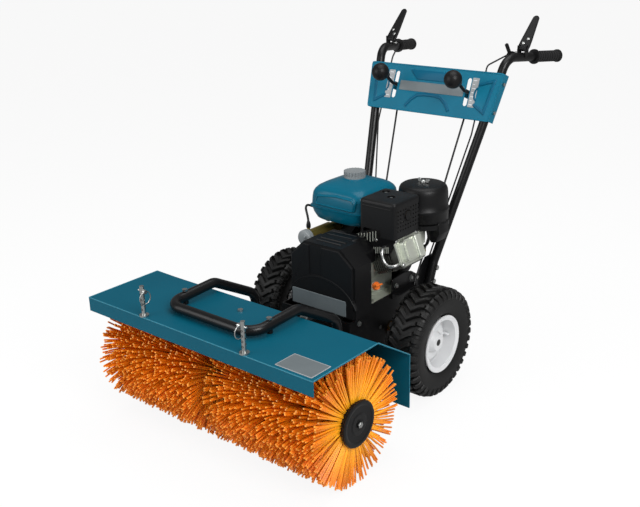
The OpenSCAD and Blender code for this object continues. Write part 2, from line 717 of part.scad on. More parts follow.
// Each ring hangs on the side that faces the other post
module linch_pin(s) color("silver") translate([s * hitch_x, hitch_y, linch_z]) mirror([s > 0 ? 1 : 0, 0, 0]) {
    out = hitch_d / 2 + free_gap;
    rod([-out - linch_tail, 0, 0], [out, 0, 0], linch_d);
    rod([out, 0, 0], [out + linch_head_len, 0, 0], linch_head_d);
    translate([out + linch_head_len / 2, 0, -linch_ring_r]) rotate([0, 90, 0])
        rotate_extrude() translate([linch_ring_r, 0]) circle(d = linch_wire);
}
module linch_pin_left() linch_pin(1);
module linch_pin_right() linch_pin(-1);

// Brush rolls
core_t = 8;
core_r = sleeve_d / 2 - core_t;
roll_in = gear_gap / 2;
end_disc_t = 4;
roll_out = brush_len / 2 - end_disc_t;
core_wall = 3;
core_plate_t = 6;
module brush_core() color("dimgray") {
    rod([-roll_out, brush_y, shaft_z], [roll_out, brush_y, shaft_z], core_shaft_d);
    for (s = [-1, 1]) {
        rod([s * roll_in, brush_y, shaft_z], [s * roll_out, brush_y, shaft_z], 2 * core_r, core_wall);
        for (x = [roll_in, roll_out - core_plate_t])
            rod([s * x, brush_y, shaft_z], [s * (x + core_plate_t), brush_y, shaft_z],
                2 * core_r - core_wall);
    }
}

// One roll's bristles: a sleeve whose surface is a grid of places, every other one drawn out to a tuft
tuft_in = 24;
tuft_splay_share = 0.62;
lean_wave = 9;
lean_turns = 2;
tuft_length_shares = [1, 0.985, 0.995, 0.975];
sleeve_in_r = (core_r + sleeve_gap) / cos(180 / tufts_round);

function around(r, a, x) = [x, r * sin(a), r * cos(a)];
function grid_x(j) = roll_in + (roll_out - roll_in) * j / tufts_along;
function lean(i, j) = let (share = 1 - (j + 0.5) / tufts_along)
    -tuft_in * share * share * share
    + lean_wave * sin(360 * lean_turns * (i + 0.5) / tufts_round) * share * (1 - share) * 4;
function tuft_here(i, j) = (i + j) % 2 == 0;
function tip_point(i, j, di, dj) = let (
    a = 360 / tufts_round * (i + 0.5 + (di - 0.5) * tuft_splay_share),
    x = grid_x(j + 0.5) + lean(i, j) + (dj - 0.5) * tuft_splay_share * (grid_x(1) - grid_x(0)))
    around(brush_d / 2 * tuft_length_shares[(i * 3 + j) % 4], a, min(x, roll_out));
n_r = tufts_round;
n_a = tufts_along;
tip_cells = [for (j = [0:n_a - 1], i = [0:n_r - 1]) if (tuft_here(i, j)) [i, j]];
outer_points = [for (j = [0:n_a], i = [0:n_r - 1]) around(sleeve_d / 2, 360 * i / n_r, grid_x(j))];
inner_points = [for (j = [0, n_a], i = [0:n_r - 1]) around(sleeve_in_r, 360 * i / n_r, grid_x(j))];
tip_points = [for (c = tip_cells, k = [[0, 0], [1, 0], [1, 1], [0, 1]]) tip_point(c[0], c[1], k[0], k[1])];
inner_at = len(outer_points);
tips_at = inner_at + len(inner_points);
function grid_at(i, j) = j * n_r + i % n_r;
function bore_at(i, j) = inner_at + j * n_r + i % n_r;
function quad(a, b, c, d) = [[a, b, c], [a, c, d]];
function cell_corners(i, j) = [grid_at(i, j), grid_at(i + 1, j), grid_at(i + 1, j + 1), grid_at(i, j + 1)];
plain_faces = [for (j = [0:n_a - 1], i = [0:n_r - 1]) if (!tuft_here(i, j))
    let (c = cell_corners(i, j)) each quad(c[0], c[1], c[2], c[3])];
tuft_faces = [for (t = [0:len(tip_cells) - 1])
    let (c = cell_corners(tip_cells[t][0], tip_cells[t][1]), p = tips_at + 4 * t)
    each concat([for (k = [0:3]) each quad(c[k], c[(k + 1) % 4], p + (k + 1) % 4, p + k)],
                quad(p, p + 1, p + 2, p + 3))];
bore_faces = [for (i = [0:n_r - 1])
    each quad(bore_at(i + 1, 0), bore_at(i, 0), bore_at(i, 1), bore_at(i + 1, 1))];
end_faces = [for (i = [0:n_r - 1]) each concat(
    quad(bore_at(i, 0), bore_at(i + 1, 0), grid_at(i + 1, 0), grid_at(i, 0)),
    quad(grid_at(i, n_a), grid_at(i + 1, n_a), bore_at(i + 1, 1), bore_at(i, 1)))];

module bristles() color("#f0931c") translate([0, brush_y, shaft_z])
    polyhedron(points = concat(outer_points, inner_points, tip_points),
               faces = concat(plain_faces, tuft_faces, bore_faces, end_faces), convexity = 10);
module bristles_left() bristles();
module bristles_right() mirror([1, 0, 0]) bristles();

disc_rim_share = 0.82;
disc_hub_share = 0.42;
disc_dish_share = 0.5;
disc_sheet = 2.5;
end_bolt_d = 10;
end_bolt_head = 6;
module end_disc() {
    r = end_disc_d / 2;
    about_x() strip([[r, 0], [r * disc_rim_share, end_disc_t],
                     [r * disc_dish_share, end_disc_t - disc_sheet / 2],
                     [r * disc_hub_share, end_disc_t], [0, end_disc_t]], -disc_sheet);
    rod([0, 0, 0], [end_disc_t, 0, 0], 2 * r * disc_hub_share);
    translate([end_disc_t, 0, 0]) rotate([0, 90, 0]) hexagon(end_bolt_head, 2 * end_bolt_d);
}
module end_discs() color("#1b1b1c") for (s = [0, 1]) mirror([s, 0, 0])
    translate([roll_out + sleeve_gap, brush_y, shaft_z]) end_disc();

// Belt guard
pto_face_y = -95;
crank_seat = 30;
guard_room = 6.5;
guard_half = 119;
guard_shoulder = 52;
guard_peak = 99;
guard_peak_half = 67;
guard_wall = 3;
guard_depth = 75;
guard_front_y = brush_belt_y - pulley_w / 2 - guard_room;
bulge_r = 187;
bulge_t = 8;
bulge_x = crank_x / 2;
bulge_lift = 10;
bulge_z = shaft_z + bulge_lift;
rib_count = 6;
rib_w = 5;
rib_t = 4;
rib_low_share = 0.2;
standoff_d = 18;
standoff_x = 46;
standoff_z = 54;
screw_d = 6;
guard_outline = [[crank_x - guard_half, deck_z], [crank_x + guard_half, deck_z],
                 [crank_x + guard_half, crank_z + guard_shoulder],
                 [crank_x + guard_peak_half, crank_z + guard_peak],
                 [crank_x - guard_peak_half, crank_z + guard_peak],
                 [crank_x - guard_half, crank_z + guard_shoulder]];
guard_face = offset_loop(guard_outline, guard_wall);
// The inside is open below, where the belts run down into the chassis
guard_inside = [for (p = guard_face) p.y < crank_z ? p - [0, guard_wall + cut_over] : p];
rib_low_z = bulge_z + bulge_r * (1 - rib_low_share);
rib_top_z = crank_z + guard_peak - 2 * guard_wall;
standoffs = [for (s = [-1, 1]) [crank_x + s * standoff_x, crank_z + standoff_z]];

module belt_guard() color("#1a1a1b") difference() {
    union() {
        difference() {
            along_y(guard_front_y, guard_front_y + guard_depth) polygon(guard_outline);
            along_y(guard_front_y + guard_wall, guard_front_y + guard_depth + cut_over)
                polygon(guard_inside);
        }
        along_y(guard_front_y - bulge_t, guard_front_y) intersection() {
            polygon(guard_face);
            translate([bulge_x, bulge_z]) circle(r = bulge_r, $fn = 96);
        }
        for (i = [1:rib_count]) let (x = crank_x + guard_peak_half * (2 * i - rib_count - 1) / rib_count)
            along_y(guard_front_y - rib_t, guard_front_y) translate([x - rib_w / 2, rib_low_z])
                square([rib_w, rib_top_z - rib_low_z]);
        for (p = standoffs) rod([p.x, guard_front_y, p.y], [p.x, pto_face_y, p.y], standoff_d);
    }
    for (p = standoffs)
        rod([p.x, guard_front_y - bulge_t, p.y], [p.x, pto_face_y + cut_over, p.y], screw_d + 2 * run_gap);
}

// Engine
case_r = 76;
case_back_y = 65;
case_foot_half = 62;
base_w = 190;
base_len = 150;
base_t = 12;
base_set = 5;
base_x = crank_x + base_set;
base_y = -15;
base_bolt_x = 82;
base_bolt_y = 60;
boss_r = 50;
boss_t = 10;
filler_d = 26;
filler_root = [50, -48, -74];
filler_mouth = [88, -56, -52];
filler_from = [crank_x, 0, crank_z] + filler_root;
filler_to = [crank_x, 0, crank_z] + filler_mouth;
frame_bolt_d = 8;
engine_bolts = [for (sx = [-1, 1], sy = [-1, 1])
    [base_x + sx * base_bolt_x, base_y + sy * base_bolt_y]];
fan_r = 105;
fan_depth = 55;
fan_wall = 3;
fan_back_y = case_back_y + fan_depth;
starter_set = [-144, 62];
starter_place = [crank_x, crank_z] + starter_set;
starter_lug_r = 27;
saddle_left = 112;
saddle_right = 40;
tank_rise = 111;
tank_low = crank_z + tank_rise;

module crankcase() color("#b9bcb4") difference() {
    union() {
        along_y(pto_face_y, case_back_y) {
            translate([crank_x, crank_z]) circle(r = case_r);
            polygon([[crank_x - case_foot_half, deck_z], [crank_x + case_foot_half, deck_z],
                     [crank_x + case_foot_half, crank_z], [crank_x - case_foot_half, crank_z]]);
        }
        along_z(deck_z, deck_z + base_t) translate([base_x, base_y]) rounded(base_w, base_len, base_t);
        rod([crank_x, pto_face_y - boss_t, crank_z], [crank_x, pto_face_y, crank_z], 2 * boss_r);
        rod(filler_from, filler_to, filler_d);
        for (i = [1:bolt_pad_count]) rotate_about_crank((i - 1 / 2) * 360 / bolt_pad_count)
            rod([bolt_pad_r, pto_face_y - boss_t / 2, 0], [bolt_pad_r, pto_face_y, 0], bolt_pad_d);
    }
    rod([crank_x, pto_face_y - boss_t - cut_over, crank_z],
        [crank_x, pto_face_y + crank_seat + cut_over, crank_z], shaft_d + 2 * run_gap);
    for (p = engine_bolts)
        rod([p.x, p.y, deck_z - cut_over], [p.x, p.y, deck_z + 2 * base_t], frame_bolt_d + 2 * run_gap);
}
bolt_pad_d = 16;
bolt_pad_count = 6;
bolt_pad_set = 11;
bolt_pad_r = case_r - bolt_pad_set;
module rotate_about_crank(a) translate([crank_x, 0, crank_z]) rotate([0, a, 0]) children();

barrel_from = 50;
barrel_to = 150;
barrel_w = 84;
fin_w = 103;
fin_h = 102;
fin_t = 3;
head_len = 28;
head_w = 104;
head_h = 96;
cover_len = 24;
cover_w = 98;
cover_h = 76;
cover_step = 6;
corner_r = 12;
module on_cylinder() translate([crank_x, 0, crank_z]) rotate([0, -cylinder_tilt, 0]) children();
module cylinder_slab(x0, x1, w, h, r) along_x(x0, x1) rounded(w, h, r);

module engine_cylinder() color("#2e2e30") difference() {
    on_cylinder() {
        cylinder_slab(barrel_from, barrel_to, barrel_w, barrel_w, corner_r);
        for (i = [1:fin_count]) let (x = mix(case_r, barrel_to, i / (fin_count + 1)))
            cylinder_slab(x - fin_t / 2, x + fin_t / 2, fin_w, fin_h, corner_r);
        cylinder_slab(barrel_to, barrel_to + head_len, head_w, head_h, corner_r);
    }
    rod([crank_x, pto_face_y, crank_z], [crank_x, case_back_y, crank_z], 2 * case_r + 2 * run_gap);
}

module valve_cover() color("#c3c6bf") on_cylinder() {
    from = barrel_to + head_len;
    cylinder_slab(from, from + cover_step, cover_w, cover_h, corner_r);
    cylinder_slab(from + cover_step, from + cover_len, cover_w - 2 * cover_step, cover_h - 2 * cover_step,
                  corner_r);
    cylinder_slab(from + cover_len, from + cover_len + cover_step / 2, cover_w - 4 * cover_step,
                  cover_h - 4 * cover_step, corner_r);
}

module fan_housing() color("#1d1d1e") difference() {
    along_y(case_back_y, fan_back_y) {
        band([crank_x, crank_z], fan_r, starter_place, starter_lug_r);
        translate([crank_x - saddle_left, crank_z])
            square([saddle_left + saddle_right, tank_rise - free_gap]);
    }
    along_y(case_back_y - cut_over, fan_back_y - fan_wall)
        translate([crank_x, crank_z]) circle(r = fan_r - fan_wall);
    along_y(case_back_y, fan_back_y + cut_over)
        translate([crank_x, crank_z]) circle(r = recoil_r - 2 * fan_wall);
}

recoil_r = 92;
recoil_depth = 45;
recoil_flat_share = 0.72;
recoil_side_share = 0.65;
vent_count = 12;
vent_in_share = 0.38;
vent_out_share = 0.68;
vent_w = 8;
pull_set = [-30, 46];
pull_x = crank_x + pull_set.x;
pull_z = crank_z + pull_set.y;
rope_d = 4;
rope_boss_d = 20;
grip_bar_d = 15;
grip_bar_len = 62;
grip_neck_d = 13;
grip_neck_len = 14;
recoil_back_y = fan_back_y + recoil_depth;
module recoil_starter() color("#161617") difference() {
    union() {
        translate([crank_x, fan_back_y, crank_z]) rotate([-90, 0, 0]) rotate_extrude()
            strip([[recoil_r, 0], [recoil_r, recoil_depth * recoil_side_share],
                   [recoil_r * recoil_flat_share, recoil_depth], [0, recoil_depth]], fan_wall);
        rod([pull_x, recoil_back_y - fan_wall * 2, pull_z], [pull_x, recoil_back_y, pull_z], rope_boss_d);
    }
    for (i = [0:vent_count - 1]) if (i != vent_skip) rotate_about_crank(i * 360 / vent_count)
        translate([recoil_r * vent_in_share, recoil_back_y - recoil_depth / 3, -vent_w / 2])
            cube([recoil_r * (vent_out_share - vent_in_share), recoil_depth, vent_w]);
    rod([pull_x, fan_back_y, pull_z], [pull_x, recoil_back_y + cut_over, pull_z], rope_d + 2 * sleeve_gap);
}
vent_skip = 8;

module starter_grip() color("#141415") {
    seat_y = recoil_back_y + sleeve_gap;
    rod([pull_x, fan_back_y + fan_wall, pull_z], [pull_x, seat_y, pull_z], rope_d);
    rod([pull_x, seat_y, pull_z], [pull_x, seat_y + grip_neck_len, pull_z], grip_neck_d);
    rod([pull_x - grip_bar_len / 2, seat_y + grip_neck_len, pull_z],
        [pull_x + grip_bar_len / 2, seat_y + grip_neck_len, pull_z], grip_bar_d);
}

// Fuel tank
tank_w = 204;
tank_d = 204;
tank_h = 121;
tank_set = -64;
tank_x = crank_x + tank_set;
tank_y = 48;
tank_low_r = 20;
tank_top_r = 38;
tank_wall = 2.5;
tank_draft = 7;
seam_share = 0.42;
seam_t = 4;
seam_out = 6;
seam_r = 30;
neck_tank_d = 50;
neck_tank_h = 9;
neck_wall = 3;
cap_h = 20;
cap_lift = 3;
cap_grip_count = 22;
cap_grip_d = 5;
module tank_body(in) hull() {
    for (sx = [-1, 1], sy = [-1, 1]) {
        translate([sx * (tank_w / 2 - tank_low_r), sy * (tank_d / 2 - tank_low_r), tank_low_r])
            sphere(r = tank_low_r - in, $fn = 32);
        translate([sx * (tank_w / 2 - tank_top_r - tank_draft), sy * (tank_d / 2 - tank_top_r - tank_draft),
                   tank_h - tank_top_r])
            sphere(r = tank_top_r - in, $fn = 32);
    }
}
module fuel_tank() color("#146e91") translate([tank_x, tank_y, tank_low]) difference() {
    union() {
        tank_body(0);
        along_z(tank_h * seam_share, tank_h * seam_share + seam_t)
            rounded(tank_w + 2 * seam_out, tank_d + 2 * seam_out, seam_r);
        rod([0, 0, tank_h - tank_top_r], [0, 0, tank_h + neck_tank_h], neck_tank_d);
    }
    tank_body(tank_wall);
    rod([0, 0, tank_low_r], [0, 0, tank_h + 2 * neck_tank_h], neck_tank_d - 2 * neck_wall);
}

module fuel_cap() color("#8f9496") translate([tank_x, tank_y, tank_low + tank_h + cap_lift]) difference() {
    cylinder(h = cap_h, d = cap_d);
    translate([0, 0, -cut_over])
        cylinder(h = neck_tank_h - cap_lift + free_gap + cut_over, d = neck_tank_d + 2 * run_gap);
    for (i = [0:cap_grip_count - 1]) rotate([0, 0, i * 360 / cap_grip_count])
        translate([cap_d / 2, 0, cap_h / 3]) cylinder(h = cap_h, d = cap_grip_d);
}

// Exhaust
shield_x = 133;
shield_y = -14;
shield_w = 126;
shield_d = 128;
shield_lift = 3;
shield_h = 106;
shield_low = tank_low + shield_lift;
shield_top = shield_low + shield_h;
shield_r = 14;
shield_t = 2;
muffler_w = 98;
muffler_len = 88;
muffler_h = 76;
muffler_r = 30;
shield_seat = 8;
outlet_d = 26;
outlet_hole_d = 34;
seat_d = 22;
seat_apart = 50;
port_set = 10;
port_x = barrel_to + port_set;
port_d = 26;
port_len = 30;
vent_rows = 4;
vent_cols = 3;
vent_len = 22;
vent_h = 6;
vent_pitch_y = 32;
vent_pitch_z = 14;
muffler_z = shield_top - shield_seat - muffler_h / 2;
module muffler() color("#4a4642") {
    along_y(shield_y - muffler_len / 2, shield_y + muffler_len / 2) translate([shield_x, muffler_z])
        rounded(muffler_w, muffler_h, muffler_r);
    rod([shield_x, shield_y, muffler_z], [shield_x + shield_w / 2 + shield_t, shield_y, muffler_z],
        outlet_d);
    on_cylinder() rod([port_x, shield_y, head_h / 2], [port_x, shield_y, head_h / 2 + port_len], port_d);
}

module muffler_shield() color("#1c1c1d") difference() {
    union() {
        along_z(shield_low, shield_top) translate([shield_x, shield_y]) difference() {
            rounded(shield_w, shield_d, shield_r);
            rounded(shield_w - 2 * shield_t, shield_d - 2 * shield_t, shield_r - shield_t);
        }
        along_z(shield_top - shield_t, shield_top) translate([shield_x, shield_y])
            rounded(shield_w, shield_d, shield_r);
        for (y = seat_ys) rod([shield_x, y, shield_top - shield_seat], [shield_x, y, shield_top], seat_d);
    }
    for (y = seat_ys)
        rod([shield_x, y, shield_top - shield_seat + shield_t], [shield_x, y, shield_top + cut_over],
            seat_d - 2 * shield_t);
    rod([shield_x, shield_y, muffler_z], [shield_x + shield_w, shield_y, muffler_z], outlet_hole_d);
    along_x(shield_x, shield_x + shield_w) for (i = [0:vent_cols - 1], j = [0:vent_rows - 1])
        if (i != 1) translate([shield_y + (i - (vent_cols - 1) / 2) * vent_pitch_y,
                               muffler_z + (j - (vent_rows - 1) / 2) * vent_pitch_z])
            slot(vent_len, vent_h);
}
seat_ys = [shield_y - seat_apart / 2, shield_y + seat_apart / 2];

// Intake
filter_x = 150;
filter_y = 133;
filter_lift = 5;
filter_low = tank_low + filter_lift;
filter_h = 112;
filter_base_t = 14;
filter_dome_r = 10;
filter_ledge = 3;
filter_ledge_share = 0.34;
carb_x = 160;
carb_y0 = head_w / 2;
carb_flange_t = 10;
carb_flange_w = 63;
carb_len = 52;
carb_y1 = carb_y0 + carb_flange_t;
carb_y2 = carb_y0 + carb_len;
carb_y = (carb_y1 + carb_y2) / 2;
carb_w = 42;
carb_h = 46;
bowl_d = 44;
bowl_h = 34;
nut_d = 26;
nut_h = 9;
carb_top = filter_low - filter_base_t;
module air_filter_base() color("#19191a") {
    rod([filter_x, filter_y, carb_top], [filter_x, filter_y, filter_low], filter_d);
    along_z(carb_top - filter_base_t, carb_top) translate([filter_x, filter_y + carb_w / 4])
        rounded(carb_w * 2, carb_w, corner_r);
}
module air_filter_cover() color("#111112") translate([filter_x, filter_y, filter_low]) {
    r = filter_d / 2;
    r_in = r - filter_ledge;
    ledge_z = filter_h * filter_ledge_share;
    rotate_extrude() polygon([[0, 0], [r, 0], [r, ledge_z], [r_in, ledge_z],
                              [r_in, filter_h - filter_dome_r], [r_in - filter_dome_r, filter_h],
                              [0, filter_h]]);
    translate([0, 0, filter_h]) hexagon(nut_h, nut_d);
}
module carburettor() color("#a9aca4") {
    along_z(carb_top - carb_h, carb_top) translate([carb_x, carb_y])
        rounded(carb_w, carb_y2 - carb_y1, corner_r / 2);
    rod([carb_x, carb_y, carb_top - carb_h - bowl_h], [carb_x, carb_y, carb_top - carb_h], bowl_d);
    along_y(carb_y0, carb_y1) translate([carb_x, carb_top - carb_h / 2])
        rounded(carb_flange_w, carb_h, corner_r);
}

// Electric starter
starter_d = 42;
starter_front_y = -105;
starter_back_y = 20;
starter_nose_d = 34;
starter_end_d = 36;
starter_end_len = 12;
terminal_d = 10;
terminal_h = 12;
terminal_y = -80;
cable_d = 6;
cable_bend_r = 12;
starter_x = starter_place.x;
starter_z = starter_place.y;
terminal = [starter_x, terminal_y, starter_z + starter_d / 2 + terminal_h];
// Corners of the cable's run, from the terminal over and down to the fan housing's corner
cable_steps = [[0, 0, 0], [0, 0, 25], [-34, 24, 61], [-36, 80, 35], [-20, 114, -17], [-20, 145, -17]];
cable_route = [for (c = cable_steps) terminal + c];
module starter_motor() color("#b98a3d") {
    end_y = starter_front_y + starter_end_len;
    rod([starter_x, end_y, starter_z], [starter_x, starter_back_y, starter_z], starter_d);
    rod([starter_x, starter_front_y, starter_z], [starter_x, end_y, starter_z], starter_end_d);
    rod([starter_x, starter_back_y, starter_z], [starter_x, case_back_y, starter_z], starter_nose_d);
    rod([starter_x, terminal_y, starter_z], terminal, terminal_d);
}
module starter_cable() color("#101011") bent_rod(cable_route, cable_bend_r, cable_d);

stick_d = 24;
stick_len = 10;
stick_tab = 12;
stick_tab_t = 5;
module oil_dipstick() color("#e8641b") {
    w = unit(filler_to - filler_from);
    rod(filler_to, filler_to + w * stick_len, stick_d);
    toward(filler_to + w * stick_len, filler_to + w * (stick_len + stick_tab))
        translate([-stick_d / 2, -stick_tab_t / 2, 0]) cube([stick_d, stick_tab_t, stick_tab]);
}

// Handlebars
panel_y = 362;
panel_z = 747;
panel_lean = 22.1;
panel_t = 2;
bar_back = panel_t + bar_d / 2 + sleeve_gap;
bar_foot_drop = 20;
bar_knee_rise = 62;
bar_bend_rise = 181;
bar_end_rise = 160;
bar_inset = 12;
bar_splay = 47;
bar_foot_z = deck_z - bar_foot_drop;
bar_knee_z = deck_z + bar_knee_rise;
bar_bend_z = panel_z + bar_bend_rise;
bar_bend_r = 50;
bar_foot_x = chassis_half + bar_d / 2 + sleeve_gap;
bar_top_x = panel_top_w / 2 - bar_inset;
grip_cap = 3;
rear_reach = 695.8;
bar_end = [bar_top_x + bar_splay, rear_reach - grip_cap, panel_z + bar_end_rise];
function bar_y(z) = panel_y + (z - panel_z) * tan(panel_lean) + bar_back / cos(panel_lean);
bar_foot = [bar_foot_x, bar_y(bar_foot_z), bar_foot_z];
bar_knee = [bar_foot_x, bar_y(bar_knee_z), bar_knee_z];
bar_top = [bar_top_x, bar_y(bar_bend_z), bar_bend_z];
bar_path = [bar_foot, bar_knee, bar_top, bar_end];
bar_dir = unit(bar_end - bar_top);
bar_yaw = atan2(bar_dir.x, bar_dir.y);
bar_bolt_rises = [4, 44];
bar_bolts = [for (h = bar_bolt_rises) [0, bar_y(deck_z + h), deck_z + h]];
panel_bolt_shares = [0.2, 0.8];
pivot_back = 74;
pivot_up = 25;
pivot_d = 7;
pivot_ear_t = 4;
pivot_boss_w = 20;
pivot_boss_d = 16;
pivot_ear_w = 20;
pivot_ear_x = (pivot_boss_w + pivot_ear_t + free_gap) / 2;
pivot_place = bar_top + bar_dir * pivot_back;
pivot = pivot_place + [0, 0, pivot_up];

function panel_point(x, y, z) = [x, panel_y + y * sin(panel_lean) - z * cos(panel_lean),
                                 panel_z + y * cos(panel_lean) + z * sin(panel_lean)];
function bar_x(z) = mix(bar_knee.x, bar_top.x, (z - bar_knee.z) / (bar_top.z - bar_knee.z));
function panel_half(y) = mix(panel_low_w, panel_top_w, y / panel_h) / 2;
panel_bolts = [for (s = panel_bolt_shares) panel_point(0, panel_h * s, -bar_back)];

module handlebar() difference() {
    union() {
        bent_rod(bar_path, bar_bend_r, bar_d, bar_wall);
        for (s = [-1, 1]) difference() {
            translate([pivot.x + s * pivot_ear_x - pivot_ear_t / 2, pivot.y - pivot_ear_w / 2,
                       pivot_place.z])
                cube([pivot_ear_t, pivot_ear_w, pivot_up + pivot_ear_w / 2]);
            rod(bar_top, bar_end, bar_d - bar_wall);
        }
        rod(pivot - [pivot_ear_x, 0, 0], pivot + [pivot_ear_x, 0, 0], pivot_d);
    }
    for (p = bar_bolts) rod([0, p.y, p.z], [chassis_w, p.y, p.z], frame_bolt_d + 2 * run_gap);
    for (p = panel_bolts) rod([0, p.y, p.z], [panel_top_w, p.y, p.z], screw_d + 2 * run_gap);
}
module handlebar_left() color("#1f1f20") {
    handlebar();
    on_throttle() rod([0, 0, 0], [throttle_x + throttle_t, 0, 0], throttle_pin_d);
}
module handlebar_right() color("#1f1f20") mirror([1, 0, 0]) handlebar();

grip_ring_count = 9;
grip_ring_w = 5;
grip_ring_depth = 1.2;
grip_flange_d = 46;
grip_flange_t = 5;
module grip() {
    start = bar_end - bar_dir * grip_len;
    toward(start, bar_end) difference() {
        union() {
            cylinder(h = grip_len + grip_cap, d = grip_d);
            cylinder(h = grip_flange_t, d = grip_flange_d);
            translate([0, 0, grip_len + grip_cap - grip_flange_t])
                cylinder(h = grip_flange_t, d = grip_d + grip_flange_t);
        }
        translate([0, 0, -cut_over]) cylinder(h = grip_len + cut_over, d = bar_d + 2 * run_gap);
        for (i = [1:grip_ring_count]) translate([0, 0, grip_len * i / (grip_ring_count + 1)]) difference() {
            cylinder(h = grip_ring_w, d = grip_flange_d * 2);
            cylinder(h = grip_ring_w, d = grip_d - 2 * grip_ring_depth);
        }
    }
}
module grip_left() color("#151516") grip();
module grip_right() color("#151516") mirror([1, 0, 0]) grip();

paddle_rest = 48;
paddle_root_w = 36;
paddle_tip_w = 20;
paddle_t = 7;
paddle_root = 14;
paddle_rib = 4;
paddle_rib_share = 0.8;
paddle_rib_h = 8;
module paddle() translate(pivot) rotate([paddle_rest, 0, 0]) difference() {
    tip_y = paddle_len - paddle_tip_w / 2;
    union() {
        rod([-pivot_boss_w / 2, 0, 0], [pivot_boss_w / 2, 0, 0], pivot_boss_d);
        along_z(-paddle_t / 2, paddle_t / 2) {
            polygon([[-pivot_boss_w / 2, 0], [pivot_boss_w / 2, 0], [pivot_boss_w / 2, paddle_root],
                     [paddle_root_w / 2, paddle_root * 2], [paddle_tip_w / 2, tip_y],
                     [-paddle_tip_w / 2, tip_y], [-paddle_root_w / 2, paddle_root * 2],
                     [-pivot_boss_w / 2, paddle_root]]);
            translate([0, tip_y]) circle(d = paddle_tip_w);
        }
        along_x(-paddle_rib / 2, paddle_rib / 2)
            polygon([[0, 0], [paddle_len * paddle_rib_share, 0], [paddle_root * 3, -paddle_rib_h],
                     [pivot_boss_d / 2, -paddle_rib_h]]);
    }
    rod([-pivot_boss_w, 0, 0], [pivot_boss_w, 0, 0], pivot_d + 2 * run_gap);
}
module paddle_left() color("#131314") paddle();
module paddle_right() color("#131314") mirror([1, 0, 0]) paddle();

throttle_back = 40;
throttle_d = 34;
throttle_t = 9;
throttle_len = 30;
throttle_w = 8;
throttle_pin_d = 6;
throttle_angle = 120;
throttle_x = bar_d / 2 + sleeve_gap;
throttle_at = bar_top + bar_dir * throttle_back;
module on_throttle() translate(throttle_at) rotate([0, 0, -bar_yaw]) mirror([1, 0, 0]) children();
module throttle_lever() color("#1b1b1c") on_throttle() difference() {
    translate([throttle_x, 0, 0]) {
        rod([0, 0, 0], [throttle_t, 0, 0], throttle_d);
        along_x(0, throttle_w) rotate(throttle_angle) translate([0, -throttle_w / 2])
            square([throttle_d / 2 + throttle_len, throttle_w]);
    }
    rod([0, 0, 0], [throttle_x + throttle_d, 0, 0], throttle_pin_d + 2 * run_gap);
}

// Control panel
panel_flange = 33;
panel_edge = 12;
slot_w = 14;
slot_y_share = 0.55;
slot_y = panel_h * slot_y_share;
lever_pivot_back = 92;
lever_pivot_d = 8;
lever_ear_t = 3;
lever_ear_in = 19;
lever_ear_h = 26;
lever_ear_out = lever_ear_in + lever_ear_t;
lever_ear_back = lever_pivot_back + lever_ear_h / 2;
edge_inset = 40;
panel_outline = [[-panel_low_w / 2, 0], [panel_low_w / 2, 0], [panel_top_w / 2, panel_h],
                 [-panel_top_w / 2, panel_h]];
panel_inside = offset_loop(panel_outline, panel_t);
panel_between = [for (p = panel_outline) [p.x - sign(p.x) * panel_t, p.y + (p.y > 0 ? 1 : -1) * cut_over]];
module on_panel() translate([0, panel_y, panel_z]) rotate([90 - panel_lean, 0, 0]) children();
module lever_places() for (s = [-1, 1]) translate([s * slot_apart / 2, slot_y, 0]) children();

module control_panel() color("#1c7391") difference() {
    union() {
        on_panel() {
            along_z(-panel_t, 0) polygon(panel_outline);
            along_z(-panel_flange, 0) difference() {
                polygon(panel_outline);
                polygon(panel_between);
            }
            along_z(-panel_edge, 0) intersection() {
                difference() {
                    polygon(panel_outline);
                    polygon(panel_inside);
                }
                square([panel_low_w - 2 * edge_inset, panel_h * 2 + cut_over], center = true);
            }
            lever_places() for (s = [-1, 1])
                translate([s > 0 ? lever_ear_in : -lever_ear_out, -lever_ear_h / 2, -lever_ear_back])
                    cube([lever_ear_t, lever_ear_h, lever_ear_back]);
            lever_places()
                rod([-lever_ear_out, 0, -lever_pivot_back], [lever_ear_out, 0, -lever_pivot_back],
                    lever_pivot_d);
        }
    }
    on_panel() along_z(-panel_flange / 2, cut_over) lever_places() rotate(90) slot(slot_len, slot_w);
    for (p = panel_bolts)
        rod([-panel_top_w, p.y, p.z], [panel_top_w, p.y, p.z], screw_d + 2 * run_gap);
    for (s = [-1, 1]) on_panel()
        rod([s * cable_x, -panel_h, -cable_back], [s * cable_x, 2 * panel_h, -cable_back],
            cable_wire_d + 2 * sleeve_gap);
}

